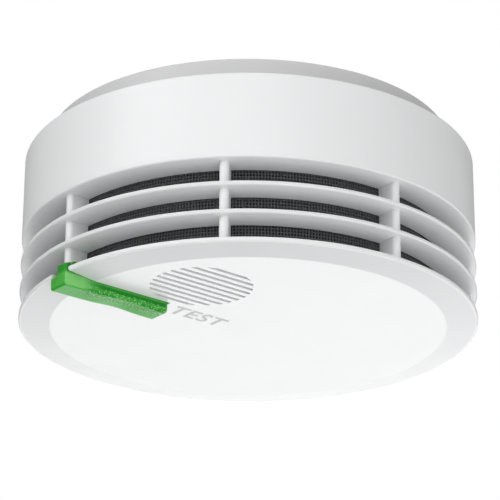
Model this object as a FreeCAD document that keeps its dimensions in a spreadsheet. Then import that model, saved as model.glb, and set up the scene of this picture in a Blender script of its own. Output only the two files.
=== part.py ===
import FreeCAD, Part
import math
import os
import re
import Sketcher

# Battery smoke alarm that hangs on a ceiling. Millimetres. The origin is the centre of the face that
# lies on the ceiling, +Z points up into the ceiling, and the alarm hangs down towards -Z. Sizes whose
# names end in _depth are distances below the ceiling.

SIZES = {
    # louvred outer shell
    "body_radius": 58.5,
    "shell_wall": 2.0,
    "band_depth": 6.75,
    "shelf_depth": 28.9,
    "shelf_thick": 1.5,
    "inlet_radius": 51.3,
    "inlet_gap": 6.05,
    "louvre_thick": 1.1,
    "louvre_drop": 0.45,
    "rim_round": 0.45,
    "post_count": 8,
    "post_thick": 2.3,
    "post_nose": 57.0,
    "post_bearing": -96,
    # face plate and sounder grille
    "face_thick": 2.05,
    "face_rim": 1.15,
    "face_radius": 50.5,
    "sounder_x": -11.4,
    "sounder_y": -31.3,
    "grille_radius": 12.65,
    "slot_count": 10,
    "slot_pitch": 2.5,
    "slot_width": 1.15,
    "slot_end_gap": 0.3,
    # test button, which is also the light guide
    "button_bearing": -141,
    "button_width": 6.4,
    "button_inner": 28.6,
    "button_outer": 59.0,
    "button_top": 47.6,
    "button_gap": 0.3,
    "button_end_gap": 0.5,
    "button_proud": 2.8,
    "button_dip": 0.5,
    "button_dip_reach": 40.0,
    "button_end_lift": 0.2,
    "button_end_run": 2.0,
    "button_rim_lift": 0.1,
    "hinge_reach": 47.5,
    "hinge_depth": 48.6,
    "hinge_pin": 0.95,
    "hinge_bore": 1.0,
    "ear_thick": 1.8,
    "ear_length": 4.0,
    "ear_over": 2.0,
    "stem_reach": 33.0,
    "pipe_reach": 40.0,
    "stem_width": 2.8,
    "stem_root": 0.5,
    # insect screen
    "screen_radius": 51.1,
    "screen_thick": 0.35,
    "screen_gap": 0.1,
    # ceiling base and its bayonet
    "base_radius": 52.6,
    "base_plate": 2.2,
    "skirt_wall": 2.2,
    "skirt_depth": 6.6,
    "hook_count": 3,
    "hook_sweep": 14,
    "hook_bearing": 20,
    "hook_thick": 1.4,
    "hook_reach": 48.3,
    "hook_root": 0.2,
    "stop_sweep": 3,
    "slot_spacing": 60.0,
    "slot_length": 8.0,
    "slot_radius": 2.2,
    "relief_outer": 46.0,
    "relief_inner": 38.0,
    "relief_deep": 0.6,
    # rear housing
    "rear_depth": 7.2,
    "rear_wall": 1.6,
    "rear_radius": 56.2,
    "rear_flange": 5.0,
    "collar_radius": 48.0,
    "collar_wall": 2.0,
    "collar_depth": 3.2,
    "lug_reach": 50.1,
    "lug_thick": 1.6,
    "lug_root": 0.5,
    "lug_slack": 0.4,
    "boss_radius": 3.0,
    "boss_hole": 12.0,
    "thread_gap": 0.05,
    "bay_length": 30.0,
    "bay_width": 22.0,
    "bay_x": 5.0,
    "bay_y": -20.0,
    "bay_gap": 0.4,
    "lid_gap": 0.1,
    "lid_thick": 1.4,
    "notch_length": 10.0,
    "notch_radius": 2.0,
    "notch_deep": 0.8,
    "notch_inset": 3.5,
    "label_length": 34.0,
    "label_width": 16.0,
    "label_thick": 0.1,
    "label_y": 20.0,
    # circuit board
    "board_depth": 27.2,
    "board_thick": 1.6,
    "board_radius": 50.6,
    "screw_count": 3,
    "screw_circle": 46.0,
    "screw_bearing": -60,
    "screw_radius": 1.25,
    "screw_hole_gap": 0.25,
    "screw_head": 2.6,
    "screw_head_thick": 1.6,
    "screw_length": 9.0,
    "recess_length": 2.8,
    "recess_width": 0.7,
    "recess_deep": 0.9,
    # parts on the board
    "chip_side": 10.0,
    "chip_thick": 1.2,
    "chip_x": -16.0,
    "chip_y": -8.0,
    "mark_radius": 0.5,
    "mark_deep": 0.2,
    "mark_inset": 1.2,
    "can_radius": 3.15,
    "can_height": 11.0,
    "can_x": -33.0,
    "can_y": 4.0,
    "coil_core": 1.5,
    "coil_winding": 3.0,
    "coil_flange": 4.0,
    "coil_flange_thick": 1.0,
    "coil_height": 5.0,
    "coil_x": 30.0,
    "coil_y": -8.0,
    "header_length": 15.4,
    "header_width": 5.2,
    "header_height": 8.5,
    "header_columns": 6,
    "header_rows": 2,
    "pin_pitch": 2.54,
    "socket_side": 0.9,
    "socket_deep": 3.0,
    "led_length": 1.6,
    "led_width": 0.8,
    "led_height": 0.8,
    # battery
    "cell_radius": 8.5,
    "cell_length": 33.5,
    "cell_depth": 17.9,
    "cell_y": 18.0,
    "cell_gap": 0.05,
    "nub_radius": 2.8,
    "nub_length": 1.0,
    "saddle_length": 24.0,
    "saddle_width": 14.0,
    "saddle_height": 5.4,
    "tab_thick": 0.3,
    "tab_width": 6.0,
    "tab_over": 4.0,
    # smoke chamber
    "chamber_x": 9.0,
    "chamber_y": 13.0,
    "chamber_radius": 24.0,
    "chamber_floor": 30.4,
    "chamber_roof": 46.6,
    "roof_thick": 1.4,
    "vane_gap": 0.1,
    "vane_inner": 16.5,
    "vane_outer": 22.6,
    "vane_thick": 1.1,
    "vane_lead": 2.0,
    "vane_trail": 2.6,
    "vane_count": 24,
    "optic_drop": 7.0,
    "optic_gap": 0.05,
    "optic_slack": 0.1,
    "cradle_reach": 11.0,
    "cradle_side": 5.0,
    "cradle_height": 6.5,
    "lens_reach": 8.0,
    "lens_radius": 1.5,
    "lens_length": 5.0,
    "flange_radius": 1.9,
    "flange_length": 0.8,
    "emitter_bearing": 200,
    "receiver_bearing": 330,
    # sounder
    "horn_radius": 13.3,
    "horn_depth": 48.55,
    "horn_back": 37.5,
    "horn_wall": 1.1,
    "horn_seat": 2.0,
    "horn_under": 3.4,
    "horn_over": 2.2,
    "throat_radius": 2.5,
    "gasket_wall": 1.0,
    "disc_gap": 0.1,
    "disc_depth": 40.0,
    "disc_thick": 0.25,
    "ceramic_thick": 0.2,
    "ceramic_radius": 8.5,
    "spring_radius": 0.45,
    "spring_outer": 10.3,
    "spring_inner": 3.0,
    # test switch
    "switch_side": 6.2,
    "switch_height": 3.5,
    "well_gap": 0.1,
    "well_deep": 1.3,
    "plunger_radius": 1.75,
    "plunger_length": 1.3,
    "plunger_depth": 33.2,
    "plunger_gap": 0.15,
    # tools that cut right through or reach past an edge
    "cutter_height": 10.0,
    "cutter_spare": 1.0,
}

DOC = FreeCAD.newDocument("SmokeAlarm")
PIECES = []
START_RING = 10
SAME_RADIUS = 0.01


def formula(text):
    """Point the size names in a formula at the sheet's cells."""

    def cell(match):
        word = match.group()
        return "Sizes." + word if word in SIZES else word

    return re.sub(r"[a-z][a-z_]+", cell, str(text))


def bind(item, sizes):
    """Bind properties to formulas."""
    for name, text in sizes.items():
        item.setExpression(name, formula(text))
    return item


def make_sheet():
    """Put every driving size in a spreadsheet cell that carries its name."""
    sheet = DOC.addObject("Spreadsheet::Sheet", "Sizes")
    for row, (name, value) in enumerate(SIZES.items(), 1):
        sheet.set(f"A{row}", name)
        sheet.set(f"B{row}", str(value))
        sheet.setAlias(f"B{row}", name)
    DOC.recompute()


def keep(node, item):
    """Name a finished sub-part."""
    item.Label = node
    PIECES.append(item)
    return item


# ---- shapes that the sub-parts share ----


def origin_plane(body, role):
    """One of a body's own origin planes."""
    return next(item for item in body.Origin.OriginFeatures if item.Role == role)


def new_sketch(body, name, role, lift=0, turn=0):
    """A sketch on an origin plane, lifted along the plane's normal and turned in the plane."""
    sketch = body.newObject("Sketcher::SketchObject", name)
    sketch.AttachmentSupport = (origin_plane(body, role), "")
    sketch.MapMode = "FlatFace"
    bind(sketch, {"AttachmentOffset.Base.z": lift, "AttachmentOffset.Rotation.Angle": turn})
    return sketch


def draw_outline(sketch, corners):
    """Draw a closed outline of straight runs; each corner is a pair of formulas.

    The corners start on a ring, and their constraints then pull them into place."""
    first = sketch.GeometryCount
    count = len(corners)
    points = []
    for index in range(count):
        angle = 2 * math.pi * index / count
        x = START_RING * math.cos(angle)
        y = START_RING * math.sin(angle)
        points.append(FreeCAD.Vector(x, y, 0))
    for index in range(count):
        sketch.addGeometry(Part.LineSegment(points[index], points[(index + 1) % count]), False)
    for index in range(count):
        after = first + (index + 1) % count
        sketch.addConstraint(Sketcher.Constraint("Coincident", first + index, 2, after, 1))
    for index, (across, along) in enumerate(corners):
        here = points[index]
        for kind, text, start in (("DistanceX", across, here.x), ("DistanceY", along, here.y)):
            rule = Sketcher.Constraint(kind, -1, 1, first + index, 1, start)
            number = sketch.addConstraint(rule)
            bind(sketch, {f"Constraints[{number}]": text})


def lathe(name, corners, x=0, y=0):
    """A PartDesign body turned about the upright axis from a (radius, height) outline."""
    body = DOC.addObject("PartDesign::Body", name)
    sketch = new_sketch(body, name + "_outline", "XZ_Plane")
    draw_outline(sketch, corners)
    turned = body.newObject("PartDesign::Revolution", name + "_turned")
    turned.Profile = sketch
    turned.ReferenceAxis = (sketch, ["V_Axis"])
    turned.Angle = 360
    bind(body, {"Placement.Base.x": x, "Placement.Base.y": y})
    DOC.recompute()
    return body


def round_rim(body, radius, size):
    """Round a turned body's edges that run round it at one radius."""
    rims = []
    for number, edge in enumerate(body.Tip.Shape.Edges, 1):
        curve = edge.Curve
        if isinstance(curve, Part.Circle) and abs(curve.Radius - SIZES[radius]) < SAME_RADIUS:
            rims.append(f"Edge{number}")
    base = body.Tip
    fillet = body.newObject("PartDesign::Fillet", body.Name + "_round")
    fillet.Base = (base, rims)
    bind(fillet, {"Radius": size})
    DOC.recompute()
    return body


def cylinder(name, radius, height, x, y, bottom):
    """An upright cylinder on its bottom face."""
    item = DOC.addObject("Part::Cylinder", name)
    place = {"Placement.Base.x": x, "Placement.Base.y": y, "Placement.Base.z": bottom}
    return bind(item, {"Radius": radius, "Height": height, **place})


def lying_cylinder(name, radius, length, x, y, z, bearing=0):
    """A cylinder that lies level, starts at a point and runs along a bearing."""
    item = DOC.addObject("Part::Cylinder", name)
    item.Placement.Rotation = FreeCAD.Rotation(FreeCAD.Vector(0, 0, 1), bearing).multiply(
        FreeCAD.Rotation(FreeCAD.Vector(0, 1, 0), 90)
    )
    place = {"Placement.Base.x": x, "Placement.Base.y": y, "Placement.Base.z": z}
    return bind(item, {"Radius": radius, "Height": length, **place})


def block(name, length, width, height, x, y, bottom, turn=0):
    """A box centred over x, y that stands on its bottom face, turned about the upright axis."""
    item = DOC.addObject("Part::Box", name)
    base_x = f"{x} - ({length}) / 2 * cos({turn}) + ({width}) / 2 * sin({turn})"
    base_y = f"{y} - ({length}) / 2 * sin({turn}) - ({width}) / 2 * cos({turn})"
    place = {"Placement.Base.x": base_x, "Placement.Base.y": base_y, "Placement.Base.z": bottom}
    size = {"Length": length, "Width": width, "Height": height}
    return bind(item, {**size, **place, "Placement.Rotation.Angle": turn})


def polar_block(name, length, width, height, reach, bearing, bottom):
    """A box whose length points outwards, centred at a reach from the upright axis."""
    x = f"({reach}) * cos({bearing})"
    y = f"({reach}) * sin({bearing})"
    return block(name, length, width, height, x, y, bottom, turn=bearing)


def cut(name, base, tools):
    """Take tools from a base."""
    tool = tools[0] if len(tools) == 1 else join(name + "_tools", tools)
    item = DOC.addObject("Part::Cut", name)
    item.Base = base
    item.Tool = tool
    return item


def join(name, items):
    """Fuse pieces into one solid."""
    item = DOC.addObject("Part::MultiFuse", name)
    item.Shapes = items
    return item


def group(name, items):
    """Keep like pieces together as separate solids."""
    item = DOC.addObject("Part::Compound", name)
    item.Links = items
    return item


def tube(name, outer, inner, height, x, y, bottom):
    """An upright tube."""
    skin = cylinder(name + "_skin", outer, height, x, y, bottom)
    hole = cylinder(name + "_hole", inner, height, x, y, bottom)
    return cut(name, skin, [hole])


def sector(name, outer, inner, height, bottom, start, sweep):
    """Part of an upright tube, from a start bearing through a sweep."""
    skin = cylinder(name + "_skin", outer, height, 0, 0, bottom)
    bind(skin, {"Angle": sweep, "Placement.Rotation.Angle": start})
    hole = cylinder(name + "_hole", inner, height, 0, 0, bottom)
    return cut(name, skin, [hole])


def stadium(name, length, radius, height, x, y, bottom):
    """A round-ended slot cutter that runs along X."""
    straight = f"({length}) - 2 * ({radius})"
    middle = block(name + "_middle", straight, f"2 * ({radius})", height, x, y, bottom)
    ends = [
        cylinder(name + "_left", radius, height, f"{x} - ({straight}) / 2", y, bottom),
        cylinder(name + "_right", radius, height, f"{x} + ({straight}) / 2", y, bottom),
    ]
    return join(name, [middle] + ends)


# ---- heights and bearings that follow from the driving sizes ----

LOUVRE_TOPS = [
    "-shelf_depth - inlet_gap",
    "-shelf_depth - 2 * inlet_gap - louvre_thick",
]
FACE_TOP = "-shelf_depth - 3 * inlet_gap - 2 * louvre_thick"
FACE_PLANE = f"{FACE_TOP} - face_thick"
BOARD_UNDER = "-board_depth - board_thick"
POST_BEARINGS = [f"post_bearing + {number} * 360 / post_count" for number in range(SIZES["post_count"])]
BUTTON_POST = 7


def button_cutter(name):
    """The space that the button moves in, open at the rim."""
    inner = "button_inner - button_end_gap"
    outer = "button_outer + cutter_spare"
    return polar_block(
        name,
        f"{outer} - ({inner})",
        "button_width + 2 * button_gap",
        "cutter_height",
        f"({outer} + {inner}) / 2",
        "button_bearing",
        "-button_top + button_end_gap - cutter_height",
    )


# ---- outer shell ----


def make_upper_shell():
    """The plain band, with the ledge above the smoke inlets."""
    inner = "body_radius - shell_wall"
    corners = [
        (inner, "-band_depth"),
        ("body_radius", "-band_depth"),
        ("body_radius", "-shelf_depth"),
        ("inlet_radius", "-shelf_depth - louvre_drop"),
        ("inlet_radius", "-shelf_depth + shelf_thick"),
        (inner, "-shelf_depth + shelf_thick"),
    ]
    keep("upper_shell", round_rim(lathe("upper_shell", corners), "body_radius", "rim_round"))


def make_louvre_ring(node, top):
    """One louvre: a thin ledge, notched on its inner edge where the posts pass."""
    corners = [
        ("inlet_radius", top),
        ("body_radius", top),
        ("body_radius", f"{top} - louvre_thick"),
        ("inlet_radius", f"{top} - louvre_thick - louvre_drop"),
    ]
    ring = round_rim(lathe(node + "_ring", corners), "body_radius", "rim_round")
    notches = []
    for number, bearing in enumerate(POST_BEARINGS):
        name = f"{node}_notch_{number}"
        reach = "(post_nose + inlet_radius - cutter_spare) / 2"
        span = "post_nose - inlet_radius + cutter_spare"
        bottom = f"{top} - cutter_height / 2"
        notches.append(polar_block(name, span, "post_thick", "cutter_height", reach, bearing, bottom))
    keep(node, cut(node, ring, notches))


def make_louvre_posts():
    """Eight upright posts with rounded noses that carry the louvres and the face plate."""
    bottom = FACE_TOP
    height = f"-shelf_depth - ({FACE_TOP})"
    nose_centre = "post_nose - post_thick / 2"
    posts = []
    for number, bearing in enumerate(POST_BEARINGS):
        name = f"post_{number}"
        span = f"{nose_centre} - inlet_radius"
        reach = f"({nose_centre} + inlet_radius) / 2"
        web = polar_block(name + "_web", span, "post_thick", height, reach, bearing, bottom)
        x = f"({nose_centre}) * cos({bearing})"
        y = f"({nose_centre}) * sin({bearing})"
        nose = cylinder(name + "_nose", "post_thick / 2", height, x, y, bottom)
        post = join(name, [web, nose])
        if number == BUTTON_POST:
            post = cut(name + "_short", post, [button_cutter("post_relief")])
        posts.append(post)
    ledge = lathe(
        "ledge_space",
        [
            ("inlet_radius - cutter_spare", "-shelf_depth - louvre_drop"),
            ("inlet_radius", "-shelf_depth - louvre_drop"),
            ("body_radius", "-shelf_depth"),
            ("body_radius", "-shelf_depth + cutter_spare"),
            ("inlet_radius - cutter_spare", "-shelf_depth + cutter_spare"),
        ],
    )
    trimmed = []
    for number, post in enumerate(posts):
        trimmed.append(cut(f"post_{number}_trimmed", post, [ledge]))
    keep("louvre_posts", group("louvre_posts", trimmed))


def make_front_cover():
    """The face plate: bevelled rim, sounder grille, open slot and bearing ears for the button."""
    corners = [
        ("0", FACE_TOP),
        ("body_radius", FACE_TOP),
        ("body_radius", f"{FACE_TOP} - face_rim"),
        ("face_radius", FACE_PLANE),
        ("0", FACE_PLANE),
    ]
    plate = round_rim(lathe("face_plate", corners), "body_radius", "rim_round")
    before = plate.Shape.Volume
    sketch = new_sketch(plate, "grille_slots", "XY_Plane", lift=FACE_PLANE, turn="button_bearing")
    bind(sketch, {"AttachmentOffset.Base.x": "sounder_x", "AttachmentOffset.Base.y": "sounder_y"})
    for number in range(SIZES["slot_count"]):
        middle = f"({number} - (slot_count - 1) / 2) * slot_pitch"
        half = f"sqrt(grille_radius * grille_radius - ({middle}) * ({middle})) - slot_end_gap"
        low = f"{middle} - slot_width / 2"
        high = f"{middle} + slot_width / 2"
        draw_outline(sketch, [(f"-({half})", low), (half, low), (half, high), (f"-({half})", high)])
    slots = plate.newObject("PartDesign::Pocket", "grille")
    slots.Profile = sketch
    slots.Reversed = True
    bind(slots, {"Length": "face_thick"})
    DOC.recompute()
    print("grille removes", round(before - plate.Shape.Volume, 1), "mm3")

    ear_offset = "button_width / 2 + button_gap + ear_thick / 2"
    height = f"-hinge_depth + ear_over - ({FACE_TOP})"
    ears = []
    for name, side in (("ear_left", "1"), ("ear_right", "-1")):
        x = f"hinge_reach * cos(button_bearing) - {side} * ({ear_offset}) * sin(button_bearing)"
        y = f"hinge_reach * sin(button_bearing) + {side} * ({ear_offset}) * cos(button_bearing)"
        ears.append(block(name, "ear_length", "ear_thick", height, x, y, FACE_TOP, "button_bearing"))
    solid = join("plate_and_ears", [plate] + ears)
    half_bore = "button_width / 2 + button_gap + ear_thick"
    bore = lying_cylinder(
        "hinge_bore_tool",
        "hinge_bore",
        f"2 * ({half_bore})",
        f"hinge_reach * cos(button_bearing) + ({half_bore}) * sin(button_bearing)",
        f"hinge_reach * sin(button_bearing) - ({half_bore}) * cos(button_bearing)",
        "-hinge_depth",
        bearing=SIZES["button_bearing"] + 90,
    )
    keep("front_cover", cut("front_cover", solid, [button_cutter("face_relief"), bore]))


def make_insect_screen():
    """The fine screen behind the louvres, notched over the button."""
    height = f"-shelf_depth - ({FACE_TOP}) - screen_gap"
    inner = "screen_radius - screen_thick"
    ring = tube("screen_ring", "screen_radius", inner, height, 0, 0, FACE_TOP)
    keep("insect_screen", cut("insect_screen", ring, [button_cutter("screen_relief")]))


# ---- test button and switch ----


def make_test_button():
    """The clear bar in the face: rocker, light pipe, switch stem and hinge pins in one piece."""
    body = DOC.addObject("PartDesign::Body", "test_button")
    bind(body, {"Placement.Rotation.Angle": "button_bearing"})

    def pad(name, corners, width):
        sketch = new_sketch(body, name + "_side", "XZ_Plane")
        draw_outline(sketch, corners)
        feature = body.newObject("PartDesign::Pad", name)
        feature.Profile = sketch
        feature.Midplane = True
        bind(feature, {"Length": width})

    bottom = f"{FACE_PLANE} - button_proud"
    bar = [
        ("button_inner", "-button_top"),
        ("button_inner", f"{bottom} + button_end_lift"),
        ("button_inner + button_end_run", bottom),
        ("button_dip_reach", f"{bottom} + button_dip"),
        ("hinge_reach", f"{bottom} + button_rim_lift"),
        ("button_outer", f"{bottom} + button_rim_lift"),
        ("button_outer", "-button_top"),
    ]
    pad("button_bar", bar, "button_width")
    stem_tip = "-plunger_depth - plunger_gap"
    stem = [
        ("stem_reach - stem_width / 2", "-button_top - stem_root"),
        ("stem_reach + stem_width / 2", "-button_top - stem_root"),
        ("stem_reach + stem_width / 2", stem_tip),
        ("stem_reach - stem_width / 2", stem_tip),
    ]
    pad("button_stem", stem, "stem_width")
    pipe = [
        ("pipe_reach - stem_width / 2", "-button_top - stem_root"),
        ("pipe_reach + stem_width / 2", "-button_top - stem_root"),
        ("pipe_reach + stem_width / 2", "-chamber_floor"),
        ("pipe_reach - stem_width / 2", "-chamber_floor"),
    ]
    pad("light_pipe", pipe, "stem_width")

    pins = new_sketch(body, "hinge_pins_end", "XZ_Plane")
    centre = FreeCAD.Vector(SIZES["hinge_reach"], -SIZES["hinge_depth"], 0)
    circle = Part.Circle(centre, FreeCAD.Vector(0, 0, 1), SIZES["hinge_pin"])
    pins.addGeometry(circle, False)
    rules = (
        (Sketcher.Constraint("DistanceX", -1, 1, 0, 3, centre.x), "hinge_reach"),
        (Sketcher.Constraint("DistanceY", -1, 1, 0, 3, centre.y), "-hinge_depth"),
        (Sketcher.Constraint("Radius", 0, circle.Radius), "hinge_pin"),
    )
    for rule, text in rules:
        number = pins.addConstraint(rule)
        bind(pins, {f"Constraints[{number}]": text})
    rod = body.newObject("PartDesign::Pad", "hinge_pins")
    rod.Profile = pins
    rod.Midplane = True
    bind(rod, {"Length": "button_width + 2 * ear_thick"})
    keep("test_button", body)


def make_test_switch():
    """The long-travel switch that the button's stem presses."""
    x = "stem_reach * cos(button_bearing)"
    y = "stem_reach * sin(button_bearing)"
    bottom = f"{BOARD_UNDER} - switch_height"
    side = "switch_side"
    case = block("switch_case", side, side, "switch_height", x, y, bottom, turn="button_bearing")
    well = cylinder("switch_well", "plunger_radius + well_gap", "well_deep", x, y, bottom)
    keep("switch_body", cut("switch_body", case, [well]))
    plunger = cylinder("switch_plunger", "plunger_radius", "plunger_length", x, y, "-plunger_depth")
    keep("switch_plunger", plunger)


# ---- ceiling base ----


def make_mounting_base():
    """The ceiling plate: skirt, three bayonet hooks with stops, two screw slots."""
    wall = "base_radius - skirt_wall"
    corners = [
        ("0", "0"),
        ("base_radius", "0"),
        ("base_radius", "-skirt_depth"),
        (wall, "-skirt_depth"),
        (wall, "-base_plate"),
        ("0", "-base_plate"),
    ]
    dish = round_rim(lathe("base_dish", corners), "base_radius", "rim_round")
    pieces = [dish]
    for number in range(SIZES["hook_count"]):
        start = f"hook_bearing + {number} * 360 / hook_count"
        outer = f"{wall} + hook_root"
        hook = sector(
            f"hook_{number}", outer, "hook_reach", "hook_thick", "-skirt_depth", start, "hook_sweep"
        )
        height = "skirt_depth - hook_thick - base_plate"
        bottom = "-skirt_depth + hook_thick"
        end = f"{start} + hook_sweep"
        stop = sector(f"stop_{number}", outer, "hook_reach", height, bottom, end, "stop_sweep")
        foot = sector(
            f"foot_{number}", outer, "hook_reach", "hook_thick", "-skirt_depth", end, "stop_sweep"
        )
        pieces += [hook, stop, foot]
    solid = join("base_solid", pieces)
    cutters = []
    bottom = "-base_plate - cutter_spare"
    for name, x in (("left_slot", "-slot_spacing / 2"), ("right_slot", "slot_spacing / 2")):
        cutters.append(stadium(name, "slot_length", "slot_radius", "cutter_height", x, "0", bottom))
    relief = tube("ceiling_relief", "relief_outer", "relief_inner", "relief_deep", 0, 0, "-relief_deep")
    cutters.append(relief)
    keep("mounting_base", cut("mounting_base", solid, cutters))


# ---- rear housing ----


def screw_places():
    """Bearings of the board screws."""
    for number in range(SIZES["screw_count"]):
        bearing = f"(screw_bearing + {number} * 360 / screw_count)"
        yield number, f"screw_circle * cos{bearing}", f"screw_circle * sin{bearing}"


def make_rear_housing():
    """The closing plate: bayonet collar with lugs, screw bosses and the module bay opening."""
    top = "-rear_depth"
    under = "-rear_depth - rear_wall"
    corners = [
        ("0", top),
        ("collar_radius - collar_wall", top),
        ("collar_radius - collar_wall", "-collar_depth"),
        ("collar_radius", "-collar_depth"),
        ("collar_radius", top),
        ("rear_radius", top),
        ("rear_radius", f"{under} - rear_flange"),
        ("rear_radius - rear_wall", f"{under} - rear_flange"),
        ("rear_radius - rear_wall", under),
        ("0", under),
    ]
    pieces = [lathe("rear_plate", corners)]
    for number in range(SIZES["hook_count"]):
        start = f"hook_bearing + {number} * 360 / hook_count"
        bottom = "-collar_depth - lug_thick"
        inner = "collar_radius - lug_root"
        sweep = "hook_sweep - lug_slack"
        pieces.append(sector(f"lug_{number}", "lug_reach", inner, "lug_thick", bottom, start, sweep))
    holes = []
    for number, x, y in screw_places():
        height = "board_depth - rear_depth - rear_wall"
        pieces.append(cylinder(f"boss_{number}", "boss_radius", height, x, y, "-board_depth"))
        thread = "screw_radius + thread_gap"
        holes.append(cylinder(f"boss_hole_{number}", thread, "boss_hole", x, y, "-board_depth"))
    solid = join("rear_solid", pieces)
    length = "bay_length + bay_gap"
    width = "bay_width + bay_gap"
    bay = block("bay_hole", length, width, "cutter_height", "bay_x", "bay_y", f"{under} - cutter_spare")
    keep("rear_housing", cut("rear_housing", solid, [bay] + holes))


def make_module_bay_cover():
    """The lid over the plug-in module bay, with a finger notch."""
    bottom = "-rear_depth - rear_wall + lid_gap"
    lid = block("bay_lid", "bay_length", "bay_width", "lid_thick", "bay_x", "bay_y", bottom)
    y = "bay_y - bay_width / 2 + notch_inset"
    bottom = "-rear_depth - notch_deep"
    notch = stadium("bay_notch", "notch_length", "notch_radius", "notch_deep", "bay_x", y, bottom)
    keep("module_bay_cover", cut("module_bay_cover", lid, [notch]))


def make_rating_label():
    """A blank label on the rear housing."""
    size = ("label_length", "label_width", "label_thick")
    keep("rating_label", block("rating_label", *size, "0", "label_y", "-rear_depth"))


# ---- electronics on the board ----


def make_circuit_board():
    """The round board that fills the shell."""
    disc = cylinder("board_disc", "board_radius", "board_thick", 0, 0, BOARD_UNDER)
    holes = []
    for number, x, y in screw_places():
        name = f"board_hole_{number}"
        holes.append(cylinder(name, "screw_radius + screw_hole_gap", "board_thick", x, y, BOARD_UNDER))
    keep("circuit_board", cut("circuit_board", disc, holes))


def make_board_screws():
    """Three pan-head screws with cross recesses that hold the board to the bosses."""
    screws = []
    for number, x, y in screw_places():
        name = f"screw_{number}"
        bottom = f"{BOARD_UNDER} - screw_head_thick"
        head = cylinder(name + "_head", "screw_head", "screw_head_thick", x, y, bottom)
        shank = cylinder(name + "_shank", "screw_radius", "screw_length", x, y, BOARD_UNDER)
        whole = join(name + "_whole", [head, shank])
        recess = [
            block(name + "_recess_a", "recess_length", "recess_width", "recess_deep", x, y, bottom),
            block(name + "_recess_b", "recess_width", "recess_length", "recess_deep", x, y, bottom),
        ]
        screws.append(cut(name, whole, recess))
    keep("board_screws", group("board_screws", screws))


def make_battery():
    """The built-in lithium cell, its cradle and its two solder tabs."""
    start = "-cell_length / 2"
    can = lying_cylinder("cell_can", "cell_radius", "cell_length", start, "cell_y", "-cell_depth")
    end = "cell_length / 2"
    nub = lying_cylinder("cell_nub", "nub_radius", "nub_length", end, "cell_y", "-cell_depth")
    keep("battery_cell", join("battery_cell", [can, nub]))

    size = ("saddle_length", "saddle_width", "saddle_height")
    saddle = block("saddle", *size, "0", "cell_y", "-board_depth")
    radius = "cell_radius + cell_gap"
    trough = lying_cylinder("trough", radius, "cell_length", start, "cell_y", "-cell_depth")
    keep("battery_cradle", cut("battery_cradle", saddle, [trough]))

    tabs = []
    height = "board_depth - cell_depth + tab_over"
    for name, x in (
        ("tab_minus", f"{start} - tab_thick / 2"),
        ("tab_plus", f"{end} + nub_length + tab_thick / 2"),
    ):
        tabs.append(block(name, "tab_thick", "tab_width", height, x, "cell_y", "-board_depth"))
    keep("battery_tabs", group("battery_tabs", tabs))


def make_board_parts():
    """The larger parts soldered to the board's upper side."""
    size = ("chip_side", "chip_side", "chip_thick")
    chip = block("chip_case", *size, "chip_x", "chip_y", "-board_depth")
    x = "chip_x - chip_side / 2 + mark_inset"
    y = "chip_y + chip_side / 2 - mark_inset"
    bottom = "-board_depth + chip_thick - mark_deep"
    mark = cylinder("chip_mark", "mark_radius", "mark_deep", x, y, bottom)
    keep("microcontroller", cut("microcontroller", chip, [mark]))
    cans = []
    for name, y in (("near_can", "can_y"), ("far_can", "-can_y")):
        cans.append(cylinder(name, "can_radius", "can_height", "can_x", y, "-board_depth"))
    keep("capacitors", group("capacitors", cans))
    spool = [
        ("coil_core", 0),
        ("coil_flange", 0),
        ("coil_flange", "coil_flange_thick"),
        ("coil_winding", "coil_flange_thick"),
        ("coil_winding", "coil_height - coil_flange_thick"),
        ("coil_flange", "coil_height - coil_flange_thick"),
        ("coil_flange", "coil_height"),
        ("coil_core", "coil_height"),
    ]
    coil = lathe("inductor", spool, x="coil_x", y="coil_y")
    bind(coil, {"Placement.Base.z": "-board_depth"})
    keep("inductor", coil)
    size = ("header_length", "header_width", "header_height")
    header = block("header_case", *size, "bay_x", "bay_y", "-board_depth")
    sockets = []
    bottom = "-board_depth + header_height - socket_deep"
    for column in range(SIZES["header_columns"]):
        for row in range(SIZES["header_rows"]):
            x = f"bay_x + ({column} - (header_columns - 1) / 2) * pin_pitch"
            y = f"bay_y + ({row} - (header_rows - 1) / 2) * pin_pitch"
            name = f"socket_{column}_{row}"
            sockets.append(block(name, "socket_side", "socket_side", "socket_deep", x, y, bottom))
    keep("module_header", cut("module_header", header, sockets))
    x = "pipe_reach * cos(button_bearing)"
    y = "pipe_reach * sin(button_bearing)"
    bottom = f"{BOARD_UNDER} - led_height"
    size = ("led_length", "led_width", "led_height")
    keep("status_led", block("status_led", *size, x, y, bottom, turn="button_bearing"))


# ---- smoke chamber ----


def chamber_point(reach, bearing):
    """A point at a reach and bearing from the chamber's own centre."""
    return f"(chamber_x + ({reach}) * cos({bearing}))", f"(chamber_y + ({reach}) * sin({bearing}))"


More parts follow.
